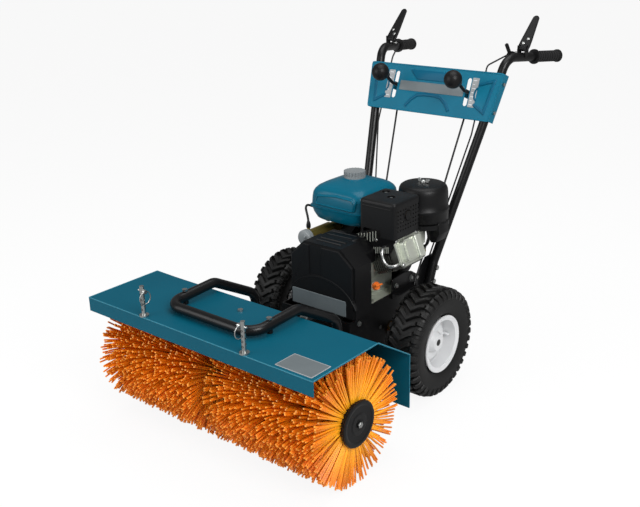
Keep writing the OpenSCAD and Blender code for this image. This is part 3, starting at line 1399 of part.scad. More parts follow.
// Levers: through the slots, with a ball-ended stem in front and a pivot behind
lever_d = 10;
stem_out = 20;
stem_rise = 16;
stem_far = 72;
knob_far = 98;
knob_neck_d = 18;
knob_neck_share = 0.75;
lever_boss_d = 18;
lever_boss_w = 22;
lever_bend_r = 14;
link_back = 46;
link_pin_d = 5;
link_play = 6.5;
link_side_play = 2.7;
link_wall = 4;
link_x = lever_d / 2 + free_gap + link_side_play + rod_d / 2;
link_pin_out = link_x + rod_d / 2 + link_side_play + free_gap;
link_w = link_pin_d + 2 * free_gap;
rod_tail = 24;
module lever() {
    difference() {
        union() {
            bent_rod([[0, 0, -lever_pivot_back], [0, 0, stem_out], [0, stem_rise, stem_far],
                      [0, stem_rise, knob_far]], lever_bend_r, lever_d);
            rod([-lever_boss_w / 2, 0, -lever_pivot_back], [lever_boss_w / 2, 0, -lever_pivot_back],
                lever_boss_d);
            rod([0, 0, -link_back], [-link_pin_out, 0, -link_back], link_pin_d);
        }
        rod([-lever_boss_w, 0, -lever_pivot_back], [lever_boss_w, 0, -lever_pivot_back],
            lever_pivot_d + 2 * run_gap);
    }
    difference() {
        union() {
            translate([0, stem_rise, knob_far]) sphere(d = knob_d);
            translate([0, stem_rise, knob_far - knob_d * knob_neck_share])
                cylinder(h = knob_d * knob_neck_share, d1 = knob_neck_d, d2 = knob_d * knob_neck_share);
        }
        rod([0, stem_rise, 0], [0, stem_rise, knob_far + cut_over], lever_d + 2 * run_gap);
    }
}
module speed_lever() color("#2a2c2d") on_panel() translate([-slot_apart / 2, slot_y, 0]) lever();
module angle_lever() color("#2a2c2d") on_panel() translate([slot_apart / 2, slot_y, 0]) lever();

// Control rods: a slotted link beside each lever takes the lever's pin, so a straight rod follows its arc
angle_eye = panel_point(slot_apart / 2 - link_x, slot_y, -link_back);
speed_eye = panel_point(-slot_apart / 2 - link_x, slot_y, -link_back);
angle_foot_set = [18, 86, 8];
speed_foot_set = [-46, -24, 14];
angle_foot = [chassis_half, 0, deck_z] + angle_foot_set;
speed_foot = [0, chassis_rear, deck_z] + speed_foot_set;
function rod_end(eye, foot) = foot - unit(eye - foot) * rod_tail;
module link_plate(t, wall) rotate([0, 90, 0]) linear_extrude(height = t, center = true)
    slot(link_w + 2 * link_play + 2 * wall, link_w + 2 * wall);
module at_eye(eye) translate(eye) rotate([90 - panel_lean, 0, 0]) children();
module control_rod(eye, foot) difference() {
    union() {
        rod(eye, rod_end(eye, foot), rod_d);
        at_eye(eye) link_plate(rod_d, link_wall);
    }
    at_eye(eye) link_plate(2 * rod_d, 0);
}
module speed_rod() color("silver") control_rod(speed_eye, speed_foot);
module angle_rod() color("silver") control_rod(angle_eye, angle_foot);

// Clutch cables, held at the paddles' brackets, by the panel and at the chassis
cable_wire_d = 5;
cable_x_share = 0.5934;
cable_x = mix(slot_apart / 2, bar_x(panel_z), cable_x_share);
cable_back = 9;
cable_bend_wide = 20;
cable_over_share = 1.15;
cable_under_share = 0.3;
cable_foot_in = 34;
cable_foot_drop = 22;
cable_foot_run = 50;
cable_start = pivot_place + [-pivot_ear_x - pivot_ear_t / 2, 0, pivot_up / 2];
cable_foot = [chassis_half - cable_foot_in, chassis_rear - 4 * plate_t, deck_z - cable_foot_drop];
module clutch_cable() bent_rod([
    cable_start, cable_start - [cable_bend_wide, 0, 0],
    panel_point(cable_x, panel_h * cable_over_share, -cable_back),
    panel_point(cable_x, -panel_h * cable_under_share, -cable_back),
    cable_foot + [0, cable_foot_run, 0], cable_foot], cable_bend_wide, cable_wire_d);
module clutch_cables() color("#161617") for (s = [0, 1]) mirror([s, 0, 0]) clutch_cable();

module frame_bolts() color("silver") {
    for (s = [0, 1]) mirror([s, 0, 0]) {
        for (p = bar_bolts)
            bolt([bar_foot_x + bar_d / 2 + sleeve_gap, p.y, p.z], [chassis_half - plate_t, p.y, p.z],
                 frame_bolt_d);
        for (i = [0:len(panel_bolts) - 1])
            let (p = panel_bolts[i], half = panel_half(panel_h * panel_bolt_shares[i]))
                bolt([half + lean_gap, p.y, p.z], [bar_x(p.z) - bar_d / 2 - lean_gap, p.y, p.z], screw_d);
    }
    for (p = engine_bolts) bolt([p.x, p.y, deck_z + base_t], [p.x, p.y, deck_z - plate_t], frame_bolt_d);
    for (p = standoffs) {
        rod([p.x, guard_front_y - rib_t, p.y], [p.x, pto_face_y, p.y], screw_d);
        rod([p.x, guard_front_y - rib_t, p.y], [p.x, guard_front_y, p.y], 2 * screw_d);
    }
}

chassis_frame();
axle_bushes();
swivel_pins();
frame_bolts();
drive_axle();
rim_left();
rim_right();
tyre_left();
tyre_right();
drive_chain();
hex_shaft();
friction_wheel();
drive_disc();
drive_belt();
crank_pulley();
brush_belt();
brush_pulley();
belt_guard();
pinion_shaft();
gearbox();
head_carrier();
hood();
bumper();
head_bolts();
hitch_posts();
linch_pin_left();
linch_pin_right();
brush_core();
bristles_left();
bristles_right();
end_discs();
crankcase();
engine_cylinder();
valve_cover();
fan_housing();
recoil_starter();
starter_grip();
fuel_tank();
fuel_cap();
muffler();
muffler_shield();
air_filter_base();
air_filter_cover();
carburettor();
starter_motor();
starter_cable();
oil_dipstick();
handlebar_left();
handlebar_right();
grip_left();
grip_right();
control_panel();
paddle_left();
paddle_right();
speed_lever();
angle_lever();
speed_rod();
angle_rod();
throttle_lever();
clutch_cables();
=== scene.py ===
"""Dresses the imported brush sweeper: finishes, bristles and fittings, studio and camera."""
import json
import math
import bpy
import bmesh
from mathutils import Matrix, Vector


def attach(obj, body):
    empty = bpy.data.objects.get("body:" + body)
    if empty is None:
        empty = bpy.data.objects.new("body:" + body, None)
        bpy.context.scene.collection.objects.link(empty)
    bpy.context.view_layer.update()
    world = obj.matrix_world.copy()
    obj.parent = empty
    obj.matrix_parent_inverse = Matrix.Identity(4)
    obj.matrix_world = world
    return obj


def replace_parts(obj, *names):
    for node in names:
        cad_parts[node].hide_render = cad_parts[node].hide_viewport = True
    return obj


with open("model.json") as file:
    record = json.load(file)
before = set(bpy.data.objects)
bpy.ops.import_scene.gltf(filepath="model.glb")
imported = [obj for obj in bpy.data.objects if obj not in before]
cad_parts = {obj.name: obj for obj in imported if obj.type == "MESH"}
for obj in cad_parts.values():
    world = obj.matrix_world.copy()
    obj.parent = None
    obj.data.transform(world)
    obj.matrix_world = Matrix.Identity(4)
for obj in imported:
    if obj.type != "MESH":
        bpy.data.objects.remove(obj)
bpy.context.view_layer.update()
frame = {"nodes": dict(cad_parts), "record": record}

MM = 0.001
UP, LEFTWARD, FORWARD, BACKWARD = (0, 0, 1), (1, 0, 0), (0, -1, 0), (0, 1, 0)
SIDES = ((1, "left"), (-1, "right"))

# Places that the construction gives, in millimetres
BRUSH_Y, SHAFT_Z = -517, 175
CORE_R, TIP_R = 56, 175
ROLL_IN, ROLL_OUT = 40, 396
END_DISC_X = 400.1
HOOD_TOP_Z, HOOD_FRONT_Y, HOOD_SIDE_X = 369, -691, 407
POST_X, POST_FRONT_Y = 184, -687.1
WHEEL_X, AXLE_Z = 265, 165
PANEL_LEAN, PANEL_FOOT_Y, PANEL_FOOT_Z = math.radians(22.1), 362, 747
CRANK_X, CRANK_Z = 22, 368
COVER_TILT, COVER_REACH = math.radians(22), 205
TANK_X, TANK_Y, TANK_POINTS = -42, 48, 48
GUARD_FRONT_Y, GUARD_TOP_Z = -190, 467
SHIELD_SIDE_X, SHIELD_FRONT_Y = 196, -78
SHIELD_WELLS = ((97, 17), (141, -18))
OUTLET_Y, OUTLET_Z, OUTLET_R = -14, 542, 17
HEAT_GUARD_Y = -57.2
FILTER_X, FILTER_Y = 150, 133
STARTER_END_Y = -107
CHASSIS_SIDE_X = 130.1
PADDLE_X, PADDLE_Y, PADDLE_Z, PADDLE_LEAN = 248.7, 525.4, 946.7, math.radians(48)
# The routes of the construction's starter cable and left clutch cable
LEAD_ROUTE = [(-122, -80, 463), (-122, -80, 488), (-156, -56, 524), (-158, 0, 498), (-142, 34, 446),
              (-142, 65, 446)]
CABLE_ROUTE = [(234.4, 525.4, 934.2), (214.4, 525.4, 934.2), (178, 434.8, 902.4), (178, 353.5, 702.2),
               (96, 204, 240), (96, 154, 240)]


# Node trees

class Tree:
    """A node tree under construction, with short ways to add and join nodes."""

    def __init__(self, tree):
        self.tree = tree

    def add(self, kind, inputs=None, **settings):
        node = self.tree.nodes.new(kind)
        for key, value in settings.items():
            setattr(node, key, value)
        self.fill(node, inputs or {})
        return node

    def fill(self, node, inputs):
        for key, value in inputs.items():
            self.join(value, node.inputs[key])

    def join(self, value, socket):
        if isinstance(value, bpy.types.NodeSocket):
            self.tree.links.new(value, socket)
        else:
            socket.default_value = value

    def math(self, operation, a, b=0.0, c=0.0, clamp=False):
        node = self.add("ShaderNodeMath", {0: a, 1: b, 2: c}, operation=operation, use_clamp=clamp)
        return node.outputs[0]

    def plus(self, a, b):
        return self.math("ADD", a, b)

    def minus(self, a, b):
        return self.math("SUBTRACT", a, b)

    def times(self, a, b):
        return self.math("MULTIPLY", a, b)

    def over(self, a, b):
        return self.math("DIVIDE", a, b)

    def vector(self, operation, a, b=(0, 0, 0)):
        return self.add("ShaderNodeVectorMath", {0: a, 1: b}, operation=operation).outputs["Vector"]

    def scaled(self, v, factor):
        node = self.add("ShaderNodeVectorMath", {"Vector": v, "Scale": factor}, operation="SCALE")
        return node.outputs["Vector"]

    def xyz(self, x, y, z):
        return self.add("ShaderNodeCombineXYZ", {"X": x, "Y": y, "Z": z}).outputs[0]


def make_group(name, kind, inputs, outputs):
    """A node group with named sockets, as its tree helper, its input sockets and its output node."""
    tree = bpy.data.node_groups.new(name, kind)
    for label, socket, value in inputs:
        made = tree.interface.new_socket(name=label, in_out="INPUT", socket_type=socket)
        if value is not None:
            made.default_value = value
    for label, socket in outputs:
        tree.interface.new_socket(name=label, in_out="OUTPUT", socket_type=socket)
    helper = Tree(tree)
    return helper, helper.add("NodeGroupInput").outputs, helper.add("NodeGroupOutput")


FLOAT, COLOUR, INTEGER, GEOMETRY = ("NodeSocket" + kind for kind in ("Float", "Color", "Int", "Geometry"))


# Finishes

def srgb(r, g, b):
    """A colour as seen on screen, from 0 to 255, as the linear colour that shaders take."""
    def linear(c):
        c /= 255
        return c / 12.92 if c <= 0.04045 else ((c + 0.055) / 1.055) ** 2.4
    return (linear(r), linear(g), linear(b), 1.0)


def new_material(name):
    """A new material, its tree helper and its main shader."""
    material = bpy.data.materials.new(name)
    material.use_nodes = True
    return material, Tree(material.node_tree), material.node_tree.nodes["Principled BSDF"]


def surface_break_group():
    """Patches and fine grain that break up a finish: a colour, a roughness and a height."""
    t, given, out = make_group("surface break", "ShaderNodeTree", [
        ("Colour", COLOUR, (0.5, 0.5, 0.5, 1)), ("Patch Colour", COLOUR, (0.4, 0.4, 0.4, 1)),
        ("Patch Scale", FLOAT, 8.0), ("Patch Share", FLOAT, 0.5), ("Grain Scale", FLOAT, 500.0),
        ("Grain Colour", FLOAT, 0.08), ("Rough", FLOAT, 0.5), ("Rough Spread", FLOAT, 0.15)],
        [("Colour", COLOUR), ("Roughness", FLOAT), ("Height", FLOAT)])
    place = t.add("ShaderNodeTexCoord").outputs["Object"]
    patch, grain = (t.add("ShaderNodeTexNoise", {"Vector": place, "Scale": given[size], "Detail": detail})
                    .outputs["Fac"] for size, detail in (("Patch Scale", 4.0), ("Grain Scale", 2.0)))
    share = t.add("ShaderNodeMapRange", {"Value": patch, "From Min": 0.35, "From Max": 0.7,
                                         "To Max": given["Patch Share"]}).outputs[0]
    mixed = t.add("ShaderNodeMix", {0: share, 6: given["Colour"], 7: given["Patch Colour"]}, data_type="RGBA")
    speck = t.math("MULTIPLY_ADD", t.minus(grain, 0.5), given["Grain Colour"], 1.0)
    swing = t.minus(t.plus(patch, grain), 1.0)
    rough = t.math("MULTIPLY_ADD", swing, given["Rough Spread"], given["Rough"], clamp=True)
    t.fill(out, {"Colour": t.scaled(mixed.outputs[2], speck), "Roughness": rough, "Height": grain})
    return t.tree


SURFACE_BREAK = surface_break_group()
BY_SLOT, SLOT_OF = {}, {}


def finish(name, slot, colour, patch, rough, metal=0.0, patch_scale=8.0, grain=500.0, bump=0.1, bump_mm=0.05,
           coat=0.0, specular=0.5):
    """A material for a slot, broken up by the shared group. A slot's first finish dresses its CAD nodes."""
    material, t, shader = new_material(name)
    broken = t.add("ShaderNodeGroup", node_tree=SURFACE_BREAK)
    t.fill(broken, {"Colour": srgb(*colour), "Patch Colour": srgb(*patch), "Patch Scale": patch_scale,
                    "Grain Scale": grain, "Rough": rough})
    relief = t.add("ShaderNodeBump", {"Strength": bump, "Distance": bump_mm * MM,
                                      "Height": broken.outputs["Height"]})
    t.fill(shader, {"Base Color": broken.outputs["Colour"], "Roughness": broken.outputs["Roughness"],
                    "Normal": relief.outputs[0], "Metallic": metal, "Coat Weight": coat,
                    "Coat Roughness": 0.12, "Specular IOR Level": specular})
    SLOT_OF[material.name] = slot
    BY_SLOT.setdefault(slot, material)
    return material


# Finishes that CAD nodes alone wear
finish("teal powder coat", "teal_paint", (2, 83, 103), (1, 75, 95), 0.5, patch_scale=4, grain=700,
       bump=0.15, coat=0.02, specular=0.12)
finish("silver rim paint", "rim_paint", (212, 213, 214), (196, 197, 199), 0.42, patch_scale=10, grain=900)
finish("sintered bronze", "bronze", (156, 120, 66), (128, 96, 50), 0.42, metal=0.9, patch_scale=60,
       grain=900)
finish("orange plastic", "orange_plastic", (240, 120, 30), (225, 105, 22), 0.4, patch_scale=40, grain=1200,
       bump=0.2)
finish("heat stained steel", "muffler_steel", (86, 80, 74), (66, 56, 48), 0.5, metal=0.8, patch_scale=25,
       bump=0.3)

# Finishes that pieces wear, and the CAD nodes of their slot where they come first in it
panel_paint = finish("panel blue paint", "panel_paint", (8, 102, 128), (4, 92, 118), 0.42, patch_scale=5,
                     grain=700, coat=0.04, specular=0.15)
# The panel paint made darker for the pressings: painted shade
pressing_painted_shade = finish("panel blue paint with painted shade", "panel_paint", (2, 86, 114), (1, 78, 106), 0.42,
                        patch_scale=5, grain=700, coat=0.04, specular=0.15)
tank_paint = finish("tank blue lacquer", "teal_paint", (0, 90, 113), (0, 82, 104), 0.3, patch_scale=6,
                    grain=900, bump=0.05, coat=0.16, specular=0.16)
black_paint = finish("black powder coat", "black_paint", (15, 15, 16), (10, 10, 11), 0.34, patch_scale=9,
                     grain=800, bump=0.2, coat=0.05, specular=0.3)
black_plastic = finish("moulded black plastic", "black_plastic", (19, 19, 20), (14, 14, 15), 0.4,
                       patch_scale=12, grain=1500, bump=0.35, specular=0.24)
tyre_rubber = finish("tyre rubber", "tyre", (14, 14, 14), (23, 22, 21), 0.5, patch_scale=18, grain=600,
                     bump=0.4, bump_mm=0.15, specular=0.42)
zinc_steel = finish("zinc plated steel", "zinc_steel", (196, 198, 196), (160, 160, 156), 0.32, metal=1.0,
                    patch_scale=40, grain=900, bump=0.15)
dark_steel = finish("oiled dark steel", "dark_steel", (62, 62, 62), (44, 42, 40), 0.5, metal=0.7,
                    patch_scale=25, grain=600, bump=0.3)
cast_aluminium = finish("cast aluminium", "aluminium", (226, 230, 218), (198, 202, 188), 0.42, metal=0.75,
                        patch_scale=35, grain=900, bump=0.5, bump_mm=0.12)
# The cast aluminium made darker for the finned barrel: painted shade among the fins
fin_aluminium_painted_shade = finish("cast cooling fins with painted shade", "aluminium", (120, 122, 116), (84, 84, 80), 0.42, metal=0.85,
                       patch_scale=30, bump=0.3)
grip_rubber = finish("grip rubber", "rubber", (18, 18, 19), (26, 26, 26), 0.7, patch_scale=30, grain=1200,
                     bump=0.4)
starter_gold = finish("gold passivated steel", "starter_gold", (158, 140, 72), (138, 124, 70), 0.35,
                      metal=0.8, patch_scale=30, grain=700)
cap_grey = finish("grey cap plastic", "cap_grey", (128, 133, 135), (108, 113, 115), 0.45, patch_scale=30,
                  grain=1200, bump=0.3)
# A lighter teal for the hood's folded edges: a painted highlight
edge_painted_highlight = finish("folded edge painted highlight", "teal_paint", (44, 118, 138), (34, 104, 124), 0.4, patch_scale=12,
                   grain=800)
strip_grey = finish("grey scale strip", "cap_grey", (150, 153, 155), (134, 137, 139), 0.42, patch_scale=20,
                    grain=1500)
plate_grey = finish("bare dark plate", "cap_grey", (104, 112, 115), (90, 98, 101), 0.4, metal=0.1,
                    patch_scale=15, grain=1500, bump=0.12)
mark_white = finish("white scale mark", "cap_grey", (226, 228, 230), (206, 208, 210), 0.5, grain=1500)
# Near black for the ring in the muffler's outlet: painted shade inside it
outlet_shade_black = finish("painted shade inside the outlet", "muffler_steel", (9, 9, 10), (5, 5, 6), 0.8, grain=900,
                    bump=0.2)

# The finned barrel wears the darker aluminium, which is its painted shade
BY_NODE = {"engine_cylinder": fin_aluminium_painted_shade, "speed_rod": black_paint, "angle_rod": black_paint}
for entry in frame["record"]["subparts"]:
    if entry["material_slot"] in BY_SLOT:
        mesh = frame["nodes"][entry["node"]].data
        mesh.materials.clear()
        mesh.materials.append(BY_NODE.get(entry["node"], BY_SLOT[entry["material_slot"]]))


# Ways to make pieces

def shown(name, data):
    """A new object of the scene that holds this data."""
    made = bpy.data.objects.new(name, data)
    bpy.context.scene.collection.objects.link(made)
    return made


def mesh_of(name, verts, faces):
    """A mesh from points in millimetres."""
    mesh = bpy.data.meshes.new(name)
    mesh.from_pydata([Vector(v) * MM for v in verts], [], faces)
    return mesh


def evaluated(holder):
    """The plain mesh that an object's modifiers give."""
    graph = bpy.context.evaluated_depsgraph_get()
    return bpy.data.meshes.new_from_object(holder.evaluated_get(graph), depsgraph=graph)


def dressed(made, body):
    """Puts a piece on its body."""
    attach(made, body)
    return made


def piece(name, form, material, smooth=30, body="chassis"):
    """A closed piece from a form's points and faces. Edges turned by more than smooth degrees stay sharp."""
    mesh = mesh_of(name, *form)
    shape = bmesh.new()
    shape.from_mesh(mesh)
    bmesh.ops.remove_doubles(shape, verts=shape.verts, dist=1e-7)
    bmesh.ops.recalc_face_normals(shape, faces=shape.faces)
    for edge in shape.edges:
        edge.smooth = edge.is_manifold and edge.calc_face_angle(math.pi) < math.radians(smooth)
    for face in shape.faces:
        face.smooth = True
    shape.to_mesh(mesh)
    shape.free()
    mesh.materials.append(material)
    return dressed(shown(name, mesh), body)


def scratch(name, form):
    """A form that others are cut by or copied from: it never stays in the scene."""
    mesh = mesh_of(name, *form)
    shape = bmesh.new()
    shape.from_mesh(mesh)
    bmesh.ops.recalc_face_normals(shape, faces=shape.faces)
    shape.to_mesh(mesh)
    shape.free()
    return bpy.data.objects.new(name, mesh)


def level(x, y, z):
    """Places an outline that lies flat, seen from above."""
    return (x, y, z)


def upright(x, z, y):
    """Places an outline that stands across the machine, seen from the front."""
    return (x, y, z)


def sideways(y, z, x):
    """Places an outline that stands along the machine, seen from its side."""
    return (x, y, z)


def rounded(points, radius, steps=5):
    """The corners of a closed outline, each eased into a curve."""
    out = []
    for i, corner in enumerate(points):
        corner = Vector(corner)
        before = Vector(points[i - 1]) - corner
        after = Vector(points[(i + 1) % len(points)]) - corner
        reach = radius[i] if isinstance(radius, list) else radius
        half = before.angle(after) / 2
        reach = min(reach / math.tan(half), before.length * 0.48, after.length * 0.48)
        start, end = corner + before.normalized() * reach, corner + after.normalized() * reach
        for k in range(steps + 1):
            f = k / steps
            out.append(start.lerp(corner, f).lerp(corner.lerp(end, f), f))
    return out


def plate_outline(x0, y0, x1, y1, radius, steps=5):
    """A rectangle with rounded corners."""
    return rounded([(x0, y0), (x1, y0), (x1, y1), (x0, y1)], radius, steps)


def turns(count):
    """Equal angles all the way round."""
    return [math.tau * k / count for k in range(count)]


def degrees(first, stop, step):
    """Angles written in degrees, in radians."""
    return [math.radians(d) for d in range(first, stop, step)]


def oval(x, y, half_x, half_y, angles):
    """Points on an oval about (x, y)."""
    return [(x + half_x * math.cos(a), y + half_y * math.sin(a)) for a in angles]


def evened(*half):
    """A cross-section from one half of it: (across, out) points from the foot to the crown, mirrored."""
    return [(-x, h) for x, h in half] + [(x, h) for x, h in reversed(half) if x]


def joined(forms):
    """Several forms, each points and faces, as one."""
    verts, faces = [], []
    for points, loops in forms:
        faces += [[i + len(verts) for i in loop] for loop in loops]
        verts += points
    return verts, faces


def loft(rings, closed=False):
    """A skin over rings of equal length, with flat ends or, when closed, running round to its start."""
    n, m = len(rings), len(rings[0])
    faces = [[j * m + i, j * m + (i + 1) % m, (j + 1) % n * m + (i + 1) % m, (j + 1) % n * m + i]
             for j in range(n if closed else n - 1) for i in range(m)]
    if not closed:
        faces += [list(range(m)), list(range((n - 1) * m, n * m))]
    return [p for ring in rings for p in ring], faces


def beside(ahead, behind, least):
    """The way to the left of a path at a point, longer at a turn so that a line beside it keeps its gap."""
    a, b = ahead.normalized(), behind.normalized()
    along = (a + b).normalized() if (a + b).length > 1e-6 else a
    return Vector((-along.y, along.x)) / max(least, along.dot(a))


def ridge(points, profile, place, closed=False):
    """A ridge of this cross-section along a flat path that place() puts on a surface."""
    points = [Vector(p) for p in points]
    n = len(points)
    rings = []
    for i, p in enumerate(points):
        ahead = points[(i + 1) % n] - p if closed or i < n - 1 else p - points[i - 1]
        behind = p - points[i - 1] if closed or i > 0 else ahead
        side = beside(ahead, behind, 0.35)
        rings.append([place(p.x + side.x * s, p.y + side.y * s, h) for s, h in profile])
    return loft(rings, closed)


def slab(outline, layers, place):
    """A solid between copies of one outline: each layer is (inset, height), from the first to the last."""
    outline = [Vector(p) for p in outline]
    n = len(outline)
    area = sum(outline[i - 1].x * outline[i].y - outline[i].x * outline[i - 1].y for i in range(n))
    turn = 1 if area > 0 else -1
    rings = []
    for inset, height in layers:
        ring = []
        for i, p in enumerate(outline):
            side = beside(outline[(i + 1) % n] - p, p - outline[i - 1], 0.5) * turn
            ring.append(place(p.x + side.x * inset, p.y + side.y * inset, height))
        rings.append(ring)
    return loft(rings)


def lathe(profile, centre, axis, sides=32):
    """A turned form: (radius, height) points about an axis, with a flat cap at each end."""
    axis = Vector(axis).normalized()
    first = axis.orthogonal().normalized()
    second = axis.cross(first)
    n = len(profile)
    verts = [Vector(centre) + axis * h + (first * math.cos(a) + second * math.sin(a)) * r
             for a in turns(sides) for r, h in profile]
    faces = [[k * n + i, k * n + i + 1, (k + 1) % sides * n + i + 1, (k + 1) % sides * n + i]
             for k in range(sides) for i in range(n - 1)]
    faces += [[k * n for k in range(sides)], [k * n + n - 1 for k in range(sides)]]
    return verts, faces


AXIS_R = 0.02


def turned(profile, centre=(0, 0, 0), axis=UP, sides=32):
    """A turned solid whose profile runs in to the axis, level, at both ends."""
    ends = [(AXIS_R, profile[0][1]), (AXIS_R, profile[-1][1])]
    return lathe(ends[:1] + profile + ends[1:], centre, axis, sides)


def tube(path, radius, sides=10):
    """A round wire or pipe along points."""
    path = [Vector(p) for p in path]
    rings, side = [], (path[1] - path[0]).orthogonal().normalized()
    for i, p in enumerate(path):
        run = (path[min(i + 1, len(path) - 1)] - path[max(i - 1, 0)]).normalized()
        side = (side - run * side.dot(run)).normalized()
        other = run.cross(side)
        rings.append([p + (side * math.cos(a) + other * math.sin(a)) * radius for a in turns(sides)])
    return loft(rings)


def smooth_path(points, steps):
    """A Catmull-Rom curve through points."""
    points = [Vector(p) for p in points]
    padded = [points[0] * 2 - points[1]] + points + [points[-1] * 2 - points[-2]]
    out = []
    for a, b, c, d in zip(padded, padded[1:], padded[2:], padded[3:]):
        for k in range(steps):
            f = k / steps
            out.append(0.5 * (2 * b + (c - a) * f + (2 * a - 5 * b + 4 * c - d) * f * f
                              + (3 * b - a - 3 * c + d) * f ** 3))
    return out + [points[-1]]


def bent_path(points, radius, steps=8):
    """Straight runs between points, with an arc of this radius at each turn."""
    points = [Vector(p) for p in points]
    out = [points[0]]
    for a, b, c in zip(points, points[1:], points[2:]):
        before, after = (a - b).normalized(), (c - b).normalized()
        half = before.angle(after) / 2
        centre = b + (before + after).normalized() * radius / math.sin(half)
        first = (b + before * radius / math.tan(half) - centre).normalized()
        last = b + after * radius / math.tan(half) - centre
        second = (last - first * last.dot(first)).normalized()
        for k in range(steps + 1):
            turn = (math.pi - 2 * half) * k / steps
            out.append(centre + (first * math.cos(turn) + second * math.sin(turn)) * radius)
    return out + [points[-1]]


def cord_along(name, route, bend, radius, node):
    """A stiff cord with both ends in the object, in place of the construction's plainer one."""
    path = bent_path(route, bend)
    made = piece(name, tube(path, radius, 12), grip_rubber, 60)
    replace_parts(made, node)


def cut_out(body, cutter):
    """One closed form with others taken out of it."""
    forms = [scratch("cut_form", body), scratch("cut_tool", cutter)]
    for form in forms:
        bpy.context.scene.collection.objects.link(form)
    modifier = forms[0].modifiers.new("cut", "BOOLEAN")
    modifier.operation = "DIFFERENCE"
    modifier.solver = "EXACT"
    modifier.object = forms[1]
    mesh = evaluated(forms[0])
    for form in forms:
        bpy.data.objects.remove(form)
    return [v.co / MM for v in mesh.vertices], [list(p.vertices) for p in mesh.polygons]


# Copies by Geometry Nodes

def grown(tree, name, values, seed=None):
    """Runs a Geometry Nodes tree with these values and returns its result as a plain mesh object."""
    holder = shown(name + "_grower", seed or bpy.data.meshes.new(name + "_seed"))
    modifier = holder.modifiers.new("grow", "NODES")
    modifier.node_group = tree
    names = {s.name: s.identifier for s in tree.interface.items_tree
             if s.item_type == "SOCKET" and s.in_out == "INPUT"}
    for label, value in values.items():
        modifier[names[label]] = value
    mesh = evaluated(holder)
    bpy.data.objects.remove(holder)
    mesh.name = name
    return shown(name, mesh)


def put_copies(t, out, shape, material, inputs):
    """Ends a tree with copies of a shape on points, made real and given their finish."""
    form = t.add("GeometryNodeObjectInfo", {"Object": shape}).outputs["Geometry"]
    copies = t.add("GeometryNodeInstanceOnPoints", {"Instance": form, **inputs}).outputs[0]
    made = t.add("GeometryNodeRealizeInstances", {"Geometry": copies}).outputs[0]
    made = t.add("GeometryNodeSetMaterial", {"Geometry": made, "Material": material}).outputs[0]
    t.join(made, out.inputs["Geometry"])


def spread_tree(name, shape, material):
    """Copies of one shape on the points of the mesh it runs on, each along that point's own facing."""
    t, given, out = make_group(name, "GeometryNodeTree", [("Points", GEOMETRY, None), ("Size", FLOAT, 1.0)],
                               [("Geometry", GEOMETRY)])
    facing = t.add("GeometryNodeInputNamedAttribute", {"Name": "facing"}, data_type="FLOAT_VECTOR").outputs[0]
    turn = t.add("FunctionNodeAlignRotationToVector", {"Vector": facing}, axis="Z").outputs[0]
    size = t.xyz(given["Size"], given["Size"], given["Size"])
    put_copies(t, out, shape, material, {"Points": given["Points"], "Rotation": turn, "Scale": size})
    return t.tree


def round_tree(name, shape, material):
    """Copies of a shape at equal turns about the X axis."""
    t, given, out = make_group(name, "GeometryNodeTree", [("Count", INTEGER, 22)], [("Geometry", GEOMETRY)])
    points = t.add("GeometryNodePoints", {"Count": given["Count"]}).outputs[0]
    index = t.add("GeometryNodeInputIndex").outputs[0]
    turn = t.times(t.over(index, given["Count"]), math.tau)
    put_copies(t, out, shape, material, {"Points": points, "Rotation": t.xyz(turn, 0.0, 0.0)})
    return t.tree


def fittings(name, form, points, material, body="chassis", size=1.0):
    """Copies of one form on (place, facing) points, as one piece on a body."""
    shape = scratch(name + "_form", form)
    seed = mesh_of(name + "_points", [place for place, _ in points], [])
    facing = seed.attributes.new("facing", "FLOAT_VECTOR", "POINT")
    for k, (_, way) in enumerate(points):
        facing.data[k].vector = Vector(way).normalized()
    dressed(grown(spread_tree(name, shape, material), name, {"Size": size}, seed), body)
    bpy.data.objects.remove(shape)


# Bristles

def bristle_material():
    """Amber bristles: deeper towards the tip, with a painted highlight on the cut ends, each strand a little
    different.
    """
    material, t, shader = new_material("amber bristle")
    along, shade = (t.add("ShaderNodeAttribute", attribute_name=label).outputs["Fac"]
                    for label in ("along", "shade"))
    ramp = t.add("ShaderNodeValToRGB", {"Fac": along})
    ramp.color_ramp.elements[0].color = srgb(255, 178, 30)
    # The last stop, lighter, is a painted highlight on the strands' cut ends
    ramp.color_ramp.elements[1].color = srgb(250, 160, 48)
    for place, colour in ((0.45, srgb(253, 160, 20)), (0.95, srgb(236, 124, 9))):
        ramp.color_ramp.elements.new(place).color = colour
    t.fill(shader, {"Base Color": t.scaled(ramp.outputs[0], t.math("MULTIPLY_ADD", shade, 0.4, 0.72)),
                    "Roughness": t.math("MULTIPLY_ADD", shade, 0.2, 0.36)})
    return material


